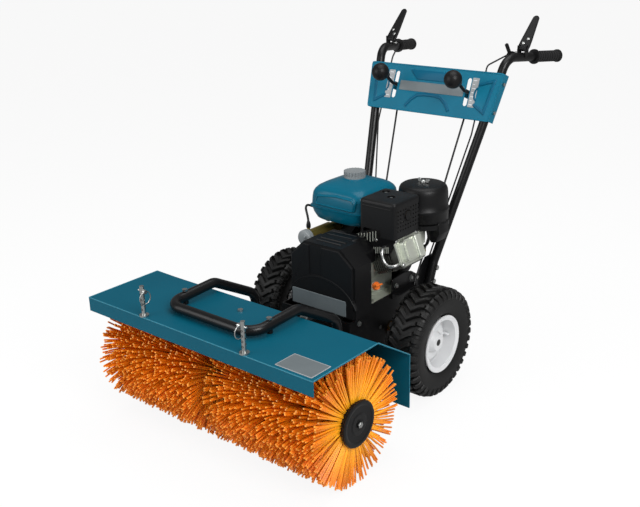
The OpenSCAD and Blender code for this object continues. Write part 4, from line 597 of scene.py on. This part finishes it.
def bristle_tree(material):
    """Curved strands in tufts on rings around a roll, all placed by their number."""
    t, given, out = make_group("roll of bristles", "GeometryNodeTree", [
        ("Tufts Round", INTEGER, 30), ("Rings", INTEGER, 17), ("Strands a Tuft", INTEGER, 5),
        ("Root Radius", FLOAT, 0.056), ("Tip Radius", FLOAT, 0.175), ("Inner End", FLOAT, 0.04),
        ("Outer End", FLOAT, 0.396), ("Strand Width", FLOAT, 0.0049), ("Inward Lean", FLOAT, 0.026),
        ("Outward Flare", FLOAT, 0.009), ("Wave", FLOAT, 0.004), ("Seed", INTEGER, 3)],
        [("Geometry", GEOMETRY)])

    def chance(low, high, number, offset):
        seed = t.plus(given["Seed"], offset)
        return t.add("FunctionNodeRandomValue", {2: low, 3: high, "ID": number, "Seed": seed},
                     data_type="FLOAT").outputs[1]

    def around(x, radius, turned_by):
        return t.xyz(x, t.times(radius, t.math("SINE", turned_by)),
                     t.times(radius, t.math("COSINE", turned_by)))

    def keep(geometry, label, value, kind):
        return t.add("GeometryNodeStoreNamedAttribute", {"Geometry": geometry, "Name": label, "Value": value},
                     data_type=kind, domain="POINT").outputs[0]

    def named(label, kind="FLOAT_VECTOR"):
        return t.add("GeometryNodeInputNamedAttribute", {"Name": label}, data_type=kind).outputs[0]

    # Each strand's tuft, ring and place on the ring, from its number; each ring is turned by the golden share
    golden_share, quarter_turn = 0.382, 1.5708
    per_ring = t.times(given["Tufts Round"], given["Strands a Tuft"])
    points = t.add("GeometryNodePoints", {"Count": t.times(per_ring, given["Rings"])}).outputs[0]
    index = t.add("GeometryNodeInputIndex").outputs[0]
    tuft = t.math("FLOOR", t.over(t.plus(index, 0.5), given["Strands a Tuft"]))
    ring = t.math("FLOOR", t.over(t.plus(tuft, 0.5), given["Tufts Round"]))
    place = t.minus(tuft, t.times(ring, given["Tufts Round"]))
    share = t.over(t.plus(ring, 0.5), given["Rings"])
    turn = t.plus(t.over(place, given["Tufts Round"]), t.times(ring, golden_share))
    angle = t.plus(t.times(turn, math.tau), chance(-0.1, 0.1, index, 0.0))
    span = t.minus(given["Outer End"], given["Inner End"])
    root_x = t.plus(t.math("MULTIPLY_ADD", share, span, given["Inner End"]),
                    chance(-0.0022, 0.0022, index, 1.0))

    # How the tips lean, flare and scatter
    short_of_end = t.minus(1.0, share)
    inward = t.math("POWER", short_of_end, 3.0)
    wave = t.math("SINE", t.plus(t.times(angle, 3.0), t.times(share, 9.0)))
    lean = t.math("MULTIPLY_ADD", inward, t.times(given["Inward Lean"], -1.0),
                  t.times(wave, t.times(given["Wave"], short_of_end)))
    lean = t.plus(lean, t.plus(chance(-0.0016, 0.0016, tuft, 2.0), chance(-0.0014, 0.0014, index, 3.0)))
    sweep = t.plus(chance(-0.014, 0.014, tuft, 4.0), chance(-0.014, 0.014, index, 5.0))
    worn = t.plus(chance(0.0, 0.02, tuft, 6.0), chance(0.0, 0.08, index, 7.0))
    reach = t.times(given["Tip Radius"], t.minus(1.006, worn))
    flare = t.times(t.math("POWER", share, 8.0), given["Outward Flare"])
    tip_x = t.plus(root_x, t.plus(lean, flare))
    root = around(root_x, given["Root Radius"], angle)
    tip = around(tip_x, reach, t.plus(angle, sweep))
    bow = around(chance(-0.0012, 0.0012, index, 8.0), chance(-0.0014, 0.0014, index, 9.0),
                 t.plus(angle, quarter_turn))
    for label, value in (("root", root), ("tip", tip), ("bow", bow)):
        points = keep(points, label, value, "FLOAT_VECTOR")
    points = keep(points, "shade", chance(0.0, 1.0, index, 10.0), "FLOAT")

    # One strand, copied to every point and then drawn out from its root to its tip
    strand = t.add("GeometryNodeMeshCylinder", {"Vertices": 5, "Side Segments": 4, "Radius": 1.0,
                                                "Depth": 1.0}, fill_type="NGON").outputs["Mesh"]
    local = t.add("ShaderNodeSeparateXYZ", {0: t.add("GeometryNodeInputPosition").outputs[0]}).outputs
    strand = keep(strand, "along", t.plus(local["Z"], 0.5), "FLOAT")
    strand = keep(strand, "aside", t.xyz(local["X"], local["Y"], 0.0), "FLOAT_VECTOR")
    spread = t.add("GeometryNodeInstanceOnPoints", {"Points": points, "Instance": strand}).outputs[0]
    made = t.add("GeometryNodeRealizeInstances", {"Geometry": spread}).outputs[0]
    along, aside = named("along", "FLOAT"), t.add("ShaderNodeSeparateXYZ", {0: named("aside")}).outputs
    run = t.vector("SUBTRACT", named("tip"), named("root"))
    first = t.vector("NORMALIZE", t.vector("CROSS_PRODUCT", run, (1, 0, 0)))
    second = t.vector("NORMALIZE", t.vector("CROSS_PRODUCT", run, first))
    thick = t.times(given["Strand Width"], 0.5)
    middle = t.vector("ADD", named("root"), t.scaled(run, along))
    arch = t.times(t.times(along, t.minus(1.0, along)), 4.0)
    middle = t.vector("ADD", middle, t.scaled(named("bow"), arch))
    off = t.vector("ADD", t.scaled(first, t.times(aside["X"], thick)),
                   t.scaled(second, t.times(aside["Y"], thick)))
    drawn = t.vector("ADD", middle, off)
    made = t.add("GeometryNodeSetPosition", {"Geometry": made, "Position": drawn}).outputs[0]
    made = t.add("GeometryNodeSetMaterial", {"Geometry": made, "Material": material}).outputs[0]
    t.join(made, out.inputs["Geometry"])
    return t.tree


def roll_of_bristles(tree, side, name):
    """One roll, grown about the X axis and put in its place."""
    roll = grown(tree, "bristle_roll_" + name, {
        "Root Radius": CORE_R * MM, "Tip Radius": TIP_R * MM, "Inner End": ROLL_IN * MM,
        "Outer End": ROLL_OUT * MM, "Seed": 3 if side > 0 else 41})
    roll.data.transform(Matrix.Translation((0, BRUSH_Y * MM, SHAFT_Z * MM)))
    if side < 0:
        roll.data.transform(Matrix.Scale(-1, 4, (1, 0, 0)))
        roll.data.flip_normals()
    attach(roll, "brush")
    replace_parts(roll, "bristles_" + name)


# Control panel

def on_panel(x, y, z):
    """A point of the panel: across, up the sheet and out from its face."""
    return (x, PANEL_FOOT_Y + y * math.sin(PANEL_LEAN) - z * math.cos(PANEL_LEAN),
            PANEL_FOOT_Z + y * math.cos(PANEL_LEAN) + z * math.sin(PANEL_LEAN))


def pressed(width, height):
    """The cross-section of a pressed bar: flat on top with eased shoulders, its foot just under the sheet."""
    half = width / 2
    return evened((half + 2, -0.6), (half + 1, 0.5), (half - 0.6, height - 0.4), (half - 1.6, height))


def panel_pressings():
    """The pressed bars and pockets of the panel's face, in a darker panel paint that is painted shade."""
    forms = []
    for side in (1, -1):
        bracket = [Vector((side * x, y)) for x, y in ((172, 108), (221, 124), (205, 24), (166, 46))]
        run = bracket[:1]
        for a, corner, c in zip(bracket, bracket[1:], bracket[2:]):
            run += [corner.lerp(a, 0.08), corner, corner.lerp(c, 0.08)]
        forms.append(ridge(run + bracket[-1:], pressed(8, 3), on_panel))
        pocket = [(side * x, y) for x, y in oval(171, 78, 9, 19, degrees(95, 266, 17))]
        forms.append(ridge(pocket, pressed(5, 2.6), on_panel))
    forms.append(slab(rounded([(-58, 104), (-92, 136), (92, 136), (58, 104)], 6),
                      [(0, -0.6), (1, 1.6), (2.5, 2.4)], on_panel))
    arch = [(-82, 16), (-66, 38), (-44, 55), (-20, 59), (20, 59), (44, 55), (66, 38), (82, 16)]
    forms.append(ridge(arch, pressed(9, 3), on_panel))
    piece("panel_pressings", joined(forms), pressing_painted_shade, 40)


def panel_edges():
    """The rolled edge round the sheet."""
    outline = rounded([(-228, 0), (228, 0), (246.5, 149), (-246.5, 149)], 9)
    roll = [(-1.4, -2.6), (-1.4, 0.4), (0.2, 1.2), (2.4, 0.9), (3.4, -0.4), (3.4, -2.6)]
    piece("panel_rolled_edge", ridge(outline, roll, on_panel, closed=True), panel_paint, 50)


def panel_strips():
    """Bare scale strips beside the slots, the bare plate between them, and the strips' marks."""
    strips = [slab(plate_outline(x - wide / 2, 36, x + wide / 2, 128, 2), [(0, -0.2), (0, 0.5), (0.5, 0.8)],
                   on_panel) for x, wide in ((-158, 24), (157, 23))]
    piece("scale_strips", joined(strips), strip_grey)
    plate = slab(plate_outline(-118, 66, 122, 97, 2.5), [(0, -0.2), (0, 0.6), (0.6, 1)], on_panel)
    piece("bare_plate", plate, plate_grey)
    marks = []
    low, half, lengths = 44, 0.9, (12, 7)
    for x, pitch, count in ((150, 12.6, 7), (-164, 19, 5)):
        for k in range(count):
            y, end = low + k * pitch, x + lengths[k % 2]
            marks.append(slab([(x, y - half), (end, y - half), (end, y + half), (x, y + half)],
                              [(0, 0.6), (0, 1.0)], on_panel))
    piece("scale_marks", joined(marks), mark_white)


# Fuel tank

def tank_ring(half, corner, z):
    """One level of the tank: a rounded square."""
    def eased(share):
        return half * math.copysign(abs(share) ** (2 / corner), share)
    angles = [math.tau * (k + 0.5) / TANK_POINTS for k in range(TANK_POINTS)]
    return [(TANK_X + eased(math.cos(a)), TANK_Y + eased(math.sin(a)), z) for a in angles]


def tank_shell():
    """The pressed tank: tapered belly, seam with its lip, upright shoulder and a dome to the filler."""
    levels = [(80, 4.4, 479), (88, 5, 480), (92, 5.8, 484), (98, 6.8, 500), (102, 7.4, 517),
              (102.5, 7.6, 520.5), (106, 7.6, 521), (106, 7.6, 523.5), (102.5, 7.6, 524), (102, 7.4, 528),
              (101, 7, 550), (99.5, 6.6, 564), (96, 6, 573), (89, 5.4, 581), (79, 4.6, 587), (66, 3.8, 592.5),
              (52, 3, 596.5), (42, 2.4, 599), (35, 2, 601), (33, 2, 603)]
    made = piece("tank_shell", loft([tank_ring(*ring) for ring in levels]), tank_paint, 32)
    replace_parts(made, "fuel_tank")

    def on_front(x, z, h):
        half = next(a + (b - a) * (z - low) / (high - low)
                    for (a, _, low), (b, _, high) in zip(levels, levels[1:]) if low <= z <= high)
        return (x, TANK_Y - min(half, 102) - h, z)

    front = [(-118, 530), (-110, 562), (-36, 571), (28, 569), (41, 560), (35, 528)]
    panel = slab(rounded(front, [10, 14, 30, 10, 8, 9], 6), [(0, -2), (0.6, 2), (2, 3), (5, 3.4)], on_front)
    line = [(-112, 534), (-105, 558), (-36, 566), (24, 564), (35, 556), (30, 532)]
    bead = ridge(rounded(line, [8, 10, 30, 9, 7, 7], 6), evened((2.8, 2.4), (1.6, 5), (0, 6)), on_front,
                 closed=True)
    tab = slab(rounded([(-162, 36), (-140, 24), (-140, 62), (-162, 50)], 4),
               [(0.6, 520.8), (0, 521.4), (0, 523), (0.6, 523.6)], level)
    piece("tank_pressings", joined([panel, bead, tab]), tank_paint, 40)


# Belt guard

def guard_pressings():
    """Pressed fields, the arch over the brush drive and the ribs on the guard's top."""
    def front(x, z, h):
        return (x, GUARD_FRONT_Y - h, z)

    def top(x, y, h):
        return (x, y, GUARD_TOP_Z + h)

    flat = [(0, -0.5), (0.3, 6.2), (2.2, 7.8)]
    right = rounded([(-92, 322), (-62, 348), (-23, 366), (-23, 461), (-43, 461), (-92, 419)], 3)
    middle = [(-24, 364), (23, 368), (23, 461), (-24, 461)]
    left = rounded([(22, 368), (68, 362), (104, 345), (135, 322), (135, 421), (86, 461), (22, 461)], 3)
    arch = oval(CRANK_X, 268, 128, 100, degrees(16, 166, 6))
    bar = ridge(arch, evened((5, -0.5), (4, 7), (2, 9.2)), front)
    fields = [slab(right, flat, front), slab(middle, [(0, -0.5), (0, 4.2)], front), slab(left, flat, front)]
    piece("guard_pressings", joined(fields + [bar]), black_plastic, 25)
    plate = slab(plate_outline(-90, 268, 112, 316, 3), [(0, 7), (0, 8.8), (0.8, 9.4)], front)
    piece("bare_label_plate", plate, plate_grey)
    ribs = [ridge([(-22, y), (70, y)], evened((3, -0.5), (2, 2.4)), top) for y in (-160, -140)]
    piece("guard_top_ribs", joined(ribs), black_plastic, 40)


# Engine fittings

def muffler_cover():
    """The muffler's drawn cover: punched holes round the outlet, two screw wells and a cut-out in front."""
    def outer_side(y, z, h):
        return (SHIELD_SIDE_X + h, y, z)

    def outer_front(x, z, h):
        return (x, SHIELD_FRONT_Y - h, z)

    outline = plate_outline(70, SHIELD_FRONT_Y, SHIELD_SIDE_X, 50, 14, 6)
    shell = slab(outline, [(8, 588), (4.6, 587.3), (1.8, 585), (0.4, 581.4), (0, 577), (0, 482), (2, 482),
                           (2, 577), (4.2, 583.4), (8, 585.6)], level)
    # What is punched through the side sits 8 mm inside it and is 14 mm long
    inside_x, punch = SHIELD_SIDE_X - 8, 14
    spots = [(-62 + 12.6 * i, 505 + 11.6 * j) for i in range(9) for j in range(6)]
    tools = [lathe([(2.7, 0), (2.7, punch)], (inside_x, y, z), LEFTWARD, 12) for y, z in spots
             if math.hypot(y - OUTLET_Y, z - OUTLET_Z) > 23]
    tools.append(lathe([(OUTLET_R, 0), (OUTLET_R, punch)], (inside_x, OUTLET_Y, OUTLET_Z), LEFTWARD, 36))
    tools += [lathe([(12.5, 0), (12.5, 30)], (x, y, 574), UP) for x, y in SHIELD_WELLS]
    tools.append(slab(plate_outline(84, 470, 146, 503, 6), [(0, -90), (0, -64)], upright))
    wells = [turned([(14, 579.5), (14, 587.4), (13, 588.8), (11.6, 588.2), (11.6, 581.5)], (x, y, 0))
             for x, y in SHIELD_WELLS]
    rim = ridge(oval(OUTLET_Y, OUTLET_Z, OUTLET_R, OUTLET_R, turns(36)),
                evened((2, -0.6), (1.4, 1.2), (0, 1.8)), outer_side, closed=True)
    beads = [ridge([(84, z), (182, z)], evened((2.2, -0.6), (1.4, 1.4), (0, 2)), outer_front)
             for z in (579, 570)]
    made = piece("muffler_cover", joined([cut_out(shell, joined(tools)), rim] + wells + beads), black_plastic)
    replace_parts(made, "muffler_shield")
    # A near-black ring in the outlet: painted shade
    outlet_painted_shade = turned([(13.4, 0), (13.4, 1.4), (10.6, 1.4), (10.2, 0.5)], outer_side(OUTLET_Y, OUTLET_Z, 1.8),
                  LEFTWARD, 28)
    piece("outlet_end", outlet_painted_shade, outlet_shade_black)
    head = turned([(1.6, 2.6), (1.7, 3.4), (3.6, 3.2), (4.4, 2.2), (4.6, 0)], sides=12)
    fittings("cover_screws", head, [((x, y, 581.4), UP) for x, y in SHIELD_WELLS], zinc_steel, size=1.3)


def bright_pipe():
    """The bent bright pipe beside the barrel, from the fins down into the head."""
    bend = [(146, -48, 448), (147, -66, 444), (150, -76, 433), (156, -78, 417), (165, -78, 406),
            (177, -77, 400.5), (189, -71, 402), (194, -60, 404), (194, -46, 405)]
    piece("bright_pipe", tube(smooth_path(bend, 4), 5.5, 14), zinc_steel, 60)


def air_filter():
    """The moulded filter drum with its strap ledge and wing nut, and the housing and breather below it."""
    drum = turned([(70, 484), (74, 486), (76, 489), (76, 515), (78, 517), (78, 524), (75.5, 526), (75, 548),
                   (74, 570), (72.5, 581), (69, 588.5), (63, 593), (52, 595.6), (30, 596.8), (10, 597)],
                  (FILTER_X, FILTER_Y, 0), sides=56)
    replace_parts(piece("filter_drum", drum, black_plastic, 50), "air_filter_cover")
    hub = turned([(7, 596), (7, 601), (5, 605)], (FILTER_X, FILTER_Y, 0), sides=20)
    wings = []
    for s in (-1, 1):
        wing = [(144 + s * 12, 598), (156 + s * 12, 598), (158 + s * 16, 608), (146 + s * 14, 610)]
        wings.append(slab(rounded(wing, 3), [(0.8, 130.8), (0, 131.6), (0, 134.4), (0.8, 135.2)], upright))
    piece("filter_wing_nut", joined([hub] + wings), zinc_steel, 40)
    housing = slab(rounded([(176, 484), (226, 490), (230, 456), (216, 428), (196, 424), (184, 446)], 6),
                   [(3, 104), (0, 108), (0, 154), (3, 158)], upright)
    hose = [(178, 98, 484), (191, 95, 466), (197, 94, 440), (190, 93, 420), (174, 90, 412)]
    piece("filter_housing", joined([housing, tube(smooth_path(hose, 5), 4.2)]), black_plastic, 40)
    arm = slab(rounded([(172, 380), (186, 384), (188, 404), (178, 408)], 3),
               [(0.6, 92), (0, 92.6), (0, 95.4), (0.6, 96)], upright)
    piece("throttle_arm", arm, starter_gold)


def starter_fittings():
    """The starter's grey end cap with its terminal, and the thick lead that arches from it in two boots."""
    cap = turned([(17, 0), (22, 2), (25, 6), (25, 22), (23, 24)], (-122, STARTER_END_Y, 432), BACKWARD, 36)
    stud = turned([(4, -6), (4.4, -2), (6.5, -2), (6.5, 1)], (-114, STARTER_END_Y, 440), BACKWARD, 12)
    piece("starter_end_cap", joined([cap, stud]), cap_grey)
    cord_along("starter_lead", LEAD_ROUTE, 28, 3.5, "starter_cable")
    boots = [turned([(7, -2), (7, 7), (4.6, 17), (3.9, 18)], LEAD_ROUTE[0], UP, 20),
             turned([(6.4, -2), (6.4, 6), (4.6, 15), (3.9, 16)], LEAD_ROUTE[-1], FORWARD, 20)]
    piece("lead_boots", joined(boots), black_plastic, 40)


def on_cover(across, up, out):
    """A point on the valve cover's outer face: across is along Y, up is along its tilt."""
    return (CRANK_X + math.cos(COVER_TILT) * (COVER_REACH + out) - math.sin(COVER_TILT) * up, across,
            CRANK_Z + math.sin(COVER_TILT) * (COVER_REACH + out) + math.cos(COVER_TILT) * up)


def valve_cover_fittings():
    """The broad rib, the rolled rim and the four corner bolts of the valve cover."""
    rib = slab(plate_outline(6, -34, 36, 34, 7), [(0, -4), (0.5, 3), (2.5, 5.4), (5, 6)], on_cover)
    rim = ridge(plate_outline(-54, -40, 54, 40, 12), evened((3.4, -26), (3.4, -21)), on_cover, closed=True)
    piece("cover_rib", joined([rib, rim]), cast_aluminium, 40)
    head = turned([(7, 0), (7, 1.2), (5.6, 1.3), (5.6, 5), (4.6, 5.8)], sides=6)
    outward = (math.cos(COVER_TILT), 0, math.sin(COVER_TILT))
    corners = [(on_cover(a, u, -21), outward) for a in (-50, 50) for u in (-36, 36)]
    fittings("cover_bolts", head, corners, zinc_steel)


def shroud():
    """The black sheet shroud between guard and tank, and the slotted heat guard beside the barrel."""
    corners = [1, 10, 10, 10, 10, 1]
    outer = rounded([(-68, 396), (-68, 432), (-44, 465), (74, 468), (110, 434), (114, 398)], corners)
    inner = rounded([(110, 398), (106, 432), (72, 464), (-42, 461), (-64, 430), (-64, 396)], corners)
    sheet = slab(outer + inner, [(0.6, -114), (0, -113.2), (0, -59), (0.6, -58)], upright)
    lips = [ridge([(-30, y), (60, y)], evened((2.4, -1), (1.6, 1.6)),
                  lambda x, y, h: (x, y, GUARD_TOP_Z + 0.02 * (x - 74) + h)) for y in (-100, -74)]
    piece("engine_shroud", joined([sheet] + lips), black_paint, 40)
    plate = [(46, 462), (66, 486), (100, 500), (172, 500), (184, 470), (160, 424), (98, 414), (84, 440)]
    guard = slab(rounded(plate, 6), [(1, -57.4), (0, -56.4), (0, -53), (1, -51)], upright)
    piece("heat_guard", guard, black_paint)
    for name, half, rows in (("upper_slots", 15, [(53 + 10.3 * k, 455 + 3.4 * k) for k in range(7)]),
                             ("lower_slots", 9.5, [(101.8 + 6.3 * k, 429 + 1.25 * k) for k in range(10)])):
        outline = [(half * u + 0.25 * v, v) for u, v in ((-1, -1.3), (1, -1.3), (1, 1.3), (-1, 1.3))]
        bar = slab(outline, [(0, -0.6), (0, 1), (0.5, 1.5)], lambda x, y, z: (y, -x, z))
        fittings(name, bar, [((x, HEAT_GUARD_Y, z), FORWARD) for x, z in rows], cast_aluminium)
    screw = turned([(6, -1), (6, 2.4), (4.6, 4), (1.4, 4.2), (1.2, 3.2)], (116, -57, 464), FORWARD, 16)
    piece("heat_guard_screw", screw, zinc_steel, 40)


def bar_bracket():
    """The angle bracket at the left handlebar ear, its bolts and the bolts in the chassis sides."""
    side_plate = [(-4, 262), (-4, 326), (58, 330), (98, 322), (132, 300), (132, 262)]
    plate = slab(rounded(side_plate, [3, 8, 8, 14, 8, 3]), [(0.8, 130.2), (0, 131), (0, 135), (0.8, 135.8)],
                 sideways)
    foot = slab(rounded([(130.4, -2), (158, 4), (158, 96), (130.4, 120)], 4),
                [(0, 278.4), (0, 281.2), (0.6, 281.8)], level)
    piece("bar_bracket", joined([plate, foot]), black_paint)
    head = turned([(9, 0), (9, 1.6), (6.4, 1.7), (6.4, 6), (5.2, 7)], sides=6)
    places = [((135.6, y, z), LEFTWARD) for y, z in ((92, 303), (120, 296), (14, 300))]
    places += [((side * CHASSIS_SIDE_X, y, z), (side, 0, 0)) for side in (1, -1)
               for y, z in ((-162, 240), (-120, 110))]
    fittings("bracket_bolts", head, places, zinc_steel)


# Sweeping head

def end_disc_fittings():
    """Turned rings and the plated bolt on each end disc."""
    ring = [(AXIS_R, 0), (AXIS_R, 1.2), (14, 1.2), (16, 3), (26, 3), (29, 0.8), (46, 0.8), (50, 3.6),
            (58, 4.2), (61.5, 2.6), (62, 0)]
    bolt = [(AXIS_R, 0), (AXIS_R, 9), (7, 9), (9, 7.6), (9, 2.6), (12.5, 2.4), (12.5, 0)]
    for name, profile, sides, material, smooth in (("disc_rings", ring, 56, black_paint, 35),
                                                   ("disc_bolts", bolt, 6, zinc_steel, 30)):
        pair = [lathe(profile, (s * END_DISC_X, BRUSH_Y, SHAFT_Z), (s, 0, 0), sides) for s in (1, -1)]
        piece(name, joined(pair), material, smooth, "brush")


def on_hood(x, y, h):
    """A point on the hood's flat top."""
    return (x, y, HOOD_TOP_Z + h)


def hood_edges():
    """The rolled line where the hood's sheet folds at the front, and along its side edges, in a lighter teal
    that is a painted highlight.
    """
    bead = evened((1.5, -1), (1.5, 0.3), (0.7, 0.9))
    end_x, fold_y = HOOD_SIDE_X + 0.5, HOOD_FRONT_Y - 0.2
    lines = [ridge([(-end_x, fold_y), (end_x, fold_y)], bead, on_hood)]
    for s in (1, -1):
        fold = [(HOOD_FRONT_Y, HOOD_TOP_Z), (-444, HOOD_TOP_Z), (-307.5, 283), (-307.5, 128)]
        lines.append(tube([(s * HOOD_SIDE_X, y, z) for y, z in fold], 1.5, 8))
    piece("hood_edge_lines", joined(lines), edge_painted_highlight, 50, "head")


def hood_fittings():
    """A bare label plate in its pale border, and the holes of the two hitch posts as dark steel discs, which
    are painted shade.
    """
    border = slab(plate_outline(281, -681, 395, -609, 3), [(0, -0.2), (0, 0.5), (0.3, 0.7)], on_hood)
    piece("hood_label_border", border, strip_grey, body="head")
    field = slab(plate_outline(284, -678, 392, -612, 2), [(0, 0.4), (0, 0.9), (0.2, 1.1)], on_hood)
    piece("hood_label_field", field, plate_grey, body="head")
    # Each hole is a dark disc on the post's face: painted shade, not a cut hole
    hole = turned([(2.2, -0.6), (2.4, 0.3), (3.2, 0.4), (3.6, -0.8)], sides=14)
    spots = [((s * POST_X, POST_FRONT_Y, z), FORWARD) for s in (1, -1) for z in (388, 402, 416, 430)]
    fittings("post_holes", hole, spots, dark_steel, "head")


# Wheels

def tyre_carcass(side):
    """The tyre's body under its lugs, with a beaded sidewall."""
    half = [(86, -40), (90, -45), (104, -50), (122, -52.5), (138, -52.5), (147, -49), (152, -40), (154, -20)]
    profile = half + [(154.5, 0)] + [(r, -x) for r, x in reversed(half)] + [(84, 0)]
    return loft([[(side * WHEEL_X + x, r * math.cos(a), AXLE_Z + r * math.sin(a)) for r, x in profile]
                 for a in turns(64)], closed=True)


def chevron_block():
    """One V block of the tread, tapering to its top, at the top of a tyre about the X axis."""
    outline = [(-34, 5), (-24, 1), (0, -18), (24, 1), (34, 5), (33, 17), (22, 14), (0, -5), (-22, 14),
               (-33, 17)]
    return loft([[(x * wide, r * math.sin(s * deep / r), r * math.cos(s * deep / r)) for x, s in outline]
                 for r, wide, deep in ((151, 1.04, 1.1), (162.5, 1, 1), (165, 0.96, 0.86))])


def shoulder_lug(side):
    """One lug that wraps from the tread's shoulder onto the sidewall."""
    profile = [(38, 150), (39, 162), (46, 160), (52.8, 151), (54.6, 139), (52, 134), (46, 146)]
    cuts = ((-0.052, 1.8), (-0.038, 0), (0.038, 0), (0.052, 1.8))
    return loft([[(side * (x - cut), (r - 1.6 * cut) * math.sin(turn), (r - 1.6 * cut) * math.cos(turn))
                  for x, r in profile] for turn, cut in cuts])


def tyre(side, name):
    """A tyre with chevron blocks and shoulder lugs, replacing the plainer CAD tyre."""
    body = piece("tyre_" + name + "_body", tyre_carcass(side), tyre_rubber, 40, "wheels")
    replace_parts(body, "tyre_" + name)
    forms = ((chevron_block(), 34), (joined([shoulder_lug(1), shoulder_lug(-1)]), 38))
    for k, (form, count) in enumerate(forms):
        shape = scratch("tread_form", form)
        tree = round_tree("tread_" + name, shape, tyre_rubber)
        tread = grown(tree, "tread_%s_%d" % (name, k), {"Count": count})
        bpy.data.objects.remove(shape)
        tread.data.transform(Matrix.Translation((side * WHEEL_X * MM, 0, AXLE_Z * MM)))
        dressed(tread, "wheels")


# Handles

def clutch_paddle(side, name):
    """A broad moulded clutch paddle on its pivot, with a rim, a rib behind it and two screws."""
    lean_y, lean_z = math.cos(PADDLE_LEAN), math.sin(PADDLE_LEAN)

    def on_paddle(x, y, z):
        return (side * (PADDLE_X + x), PADDLE_Y + y * lean_y - z * lean_z, PADDLE_Z + y * lean_z + z * lean_y)

    tip = oval(0, 111.6, 10.4, 10.4, degrees(0, 181, 15))
    outline = [(-17, -8), (17, -8), (19, 8), (18, 30)] + tip + [(-18, 30), (-19, 8)]
    plate = slab(outline, [(1, -3.4), (0, -2.4), (0, 2.2), (1.2, 3.4), (4, 3.4), (4.6, 2.6)], on_paddle)
    rib = slab([(6, -3), (95, -3), (40, -10), (6, -10)], [(0, -2), (0, 2)],
               lambda y, z, x: on_paddle(x, y, z))
    boss = turned([(8, -10), (8, 10)], (side * PADDLE_X, PADDLE_Y, PADDLE_Z), LEFTWARD, 24)
    made = piece("clutch_paddle_" + name, joined([plate, rib, boss]), black_plastic, 35, name + "_paddle")
    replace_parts(made, "paddle_" + name)
    screws = [turned([(5, 0), (5, 1.6), (3.6, 3)], on_paddle(x, y, 2.4), (0, -lean_z, lean_y), 14)
              for x, y in ((-5, 18), (6, 34))]
    piece("paddle_screws_" + name, joined(screws), zinc_steel, 40, name + "_paddle")


def clutch_cable(side, name):
    """One clutch cable, from its paddle behind the panel down into the chassis, with its two ferrules."""
    route = [(side * x, y, z) for x, y, z in CABLE_ROUTE]
    cord_along("clutch_cable_" + name, route, 20, 2.5, "clutch_cables")
    ends = [turned([(4, -1), (4, 5), (3.2, 9), (2.7, 12)], route[0], (-side, 0, 0), 16),
            turned([(4, 14), (4, 22), (3.2, 27), (2.7, 30)], route[-1], BACKWARD, 16)]
    piece("cable_ferrules_" + name, joined(ends), zinc_steel, 40)


# Studio and camera

def studio_floor():
    """A pale floor that the camera sees as white, with the object's shadow on it."""
    bpy.ops.mesh.primitive_plane_add(size=60, location=(0, 0, -0.0005))
    floor = bpy.context.object
    floor.name = "studio_floor"
    material, t, shader = new_material("pale floor")
    t.fill(shader, {"Base Color": (0.88, 0.88, 0.88, 1), "Roughness": 0.9})
    path = t.add("ShaderNodeLightPath").outputs
    strength = t.math("MULTIPLY_ADD", path["Is Camera Ray"], 0.65, 0.35)
    glow = t.add("ShaderNodeEmission", {"Color": (1, 1, 1, 1), "Strength": strength})
    seen = t.math("MAXIMUM", path["Is Glossy Ray"], path["Is Transmission Ray"])
    seen = t.math("MAXIMUM", path["Is Camera Ray"], seen)
    # What is left over is the lit surface, which carries the shadow
    white_share = t.times(seen, 0.9)
    mix = t.add("ShaderNodeMixShader", {0: white_share, 1: shader.outputs[0], 2: glow.outputs[0]})
    t.join(mix.outputs[0], material.node_tree.nodes["Material Output"].inputs["Surface"])
    floor.data.materials.append(material)


def studio_world():
    """White to the camera, grey to reflections, a soft even light to everything else."""
    world = bpy.data.worlds.new("studio")
    bpy.context.scene.world = world
    world.use_nodes = True
    t = Tree(world.node_tree)
    path = t.add("ShaderNodeLightPath").outputs
    lit = t.math("MULTIPLY_ADD", path["Is Camera Ray"], 0.55, 0.45)
    t.fill(world.node_tree.nodes["Background"], {
        "Color": (1, 1, 1, 1), "Strength": t.math("MULTIPLY_ADD", path["Is Glossy Ray"], -0.25, lit)})


def softbox(name, place, target, size, power):
    """A square area lamp that looks at a point."""
    data = bpy.data.lights.new(name, "AREA")
    data.shape = "SQUARE"
    data.size = size
    data.energy = power
    lamp = shown(name, data)
    lamp.location = place
    lamp.rotation_euler = (Vector(target) - Vector(place)).to_track_quat("-Z", "Y").to_euler()


def photo_camera():
    """The camera that a perspective fit of the photograph gave."""
    data = bpy.data.cameras.new("photo_camera")
    data.sensor_width = 36
    data.sensor_fit = "HORIZONTAL"
    data.lens = 51.55
    camera = shown("photo_camera", data)
    right = Vector((0.7687, 0.6391, -0.0253)).normalized()
    back = Vector((0.6060, -0.7151, 0.3485)).normalized()
    up = back.cross(right).normalized()
    turn = Matrix((up.cross(back), up, back)).transposed().to_4x4()
    camera.matrix_world = Matrix.Translation((1.6066, -2.0695, 1.3551)) @ turn
    bpy.context.scene.camera = camera


# The sweeper, dressed from the brush to the handles, in its studio
bristles = bristle_tree(bristle_material())
for side, name in SIDES:
    roll_of_bristles(bristles, side, name)
for dress in (panel_pressings, panel_edges, panel_strips, tank_shell, guard_pressings, muffler_cover,
              bright_pipe, air_filter, starter_fittings, valve_cover_fittings, shroud, bar_bracket,
              end_disc_fittings, hood_edges, hood_fittings):
    dress()
for side, name in SIDES:
    tyre(side, name)
for side, name in SIDES:
    clutch_paddle(side, name)
    clutch_cable(side, name)

bpy.context.scene.view_settings.view_transform = "Standard"
studio_floor()
studio_world()
softbox("key_lamp", (2.9, -1.4, 2.6), (0, -0.2, 0.4), 1.8, 95)
softbox("fill_lamp", (-1.6, -3.0, 1.6), (0, -0.2, 0.4), 2.2, 45)
softbox("top_lamp", (0.2, 0.2, 3.4), (0, -0.1, 0.4), 2.4, 45)
photo_camera()
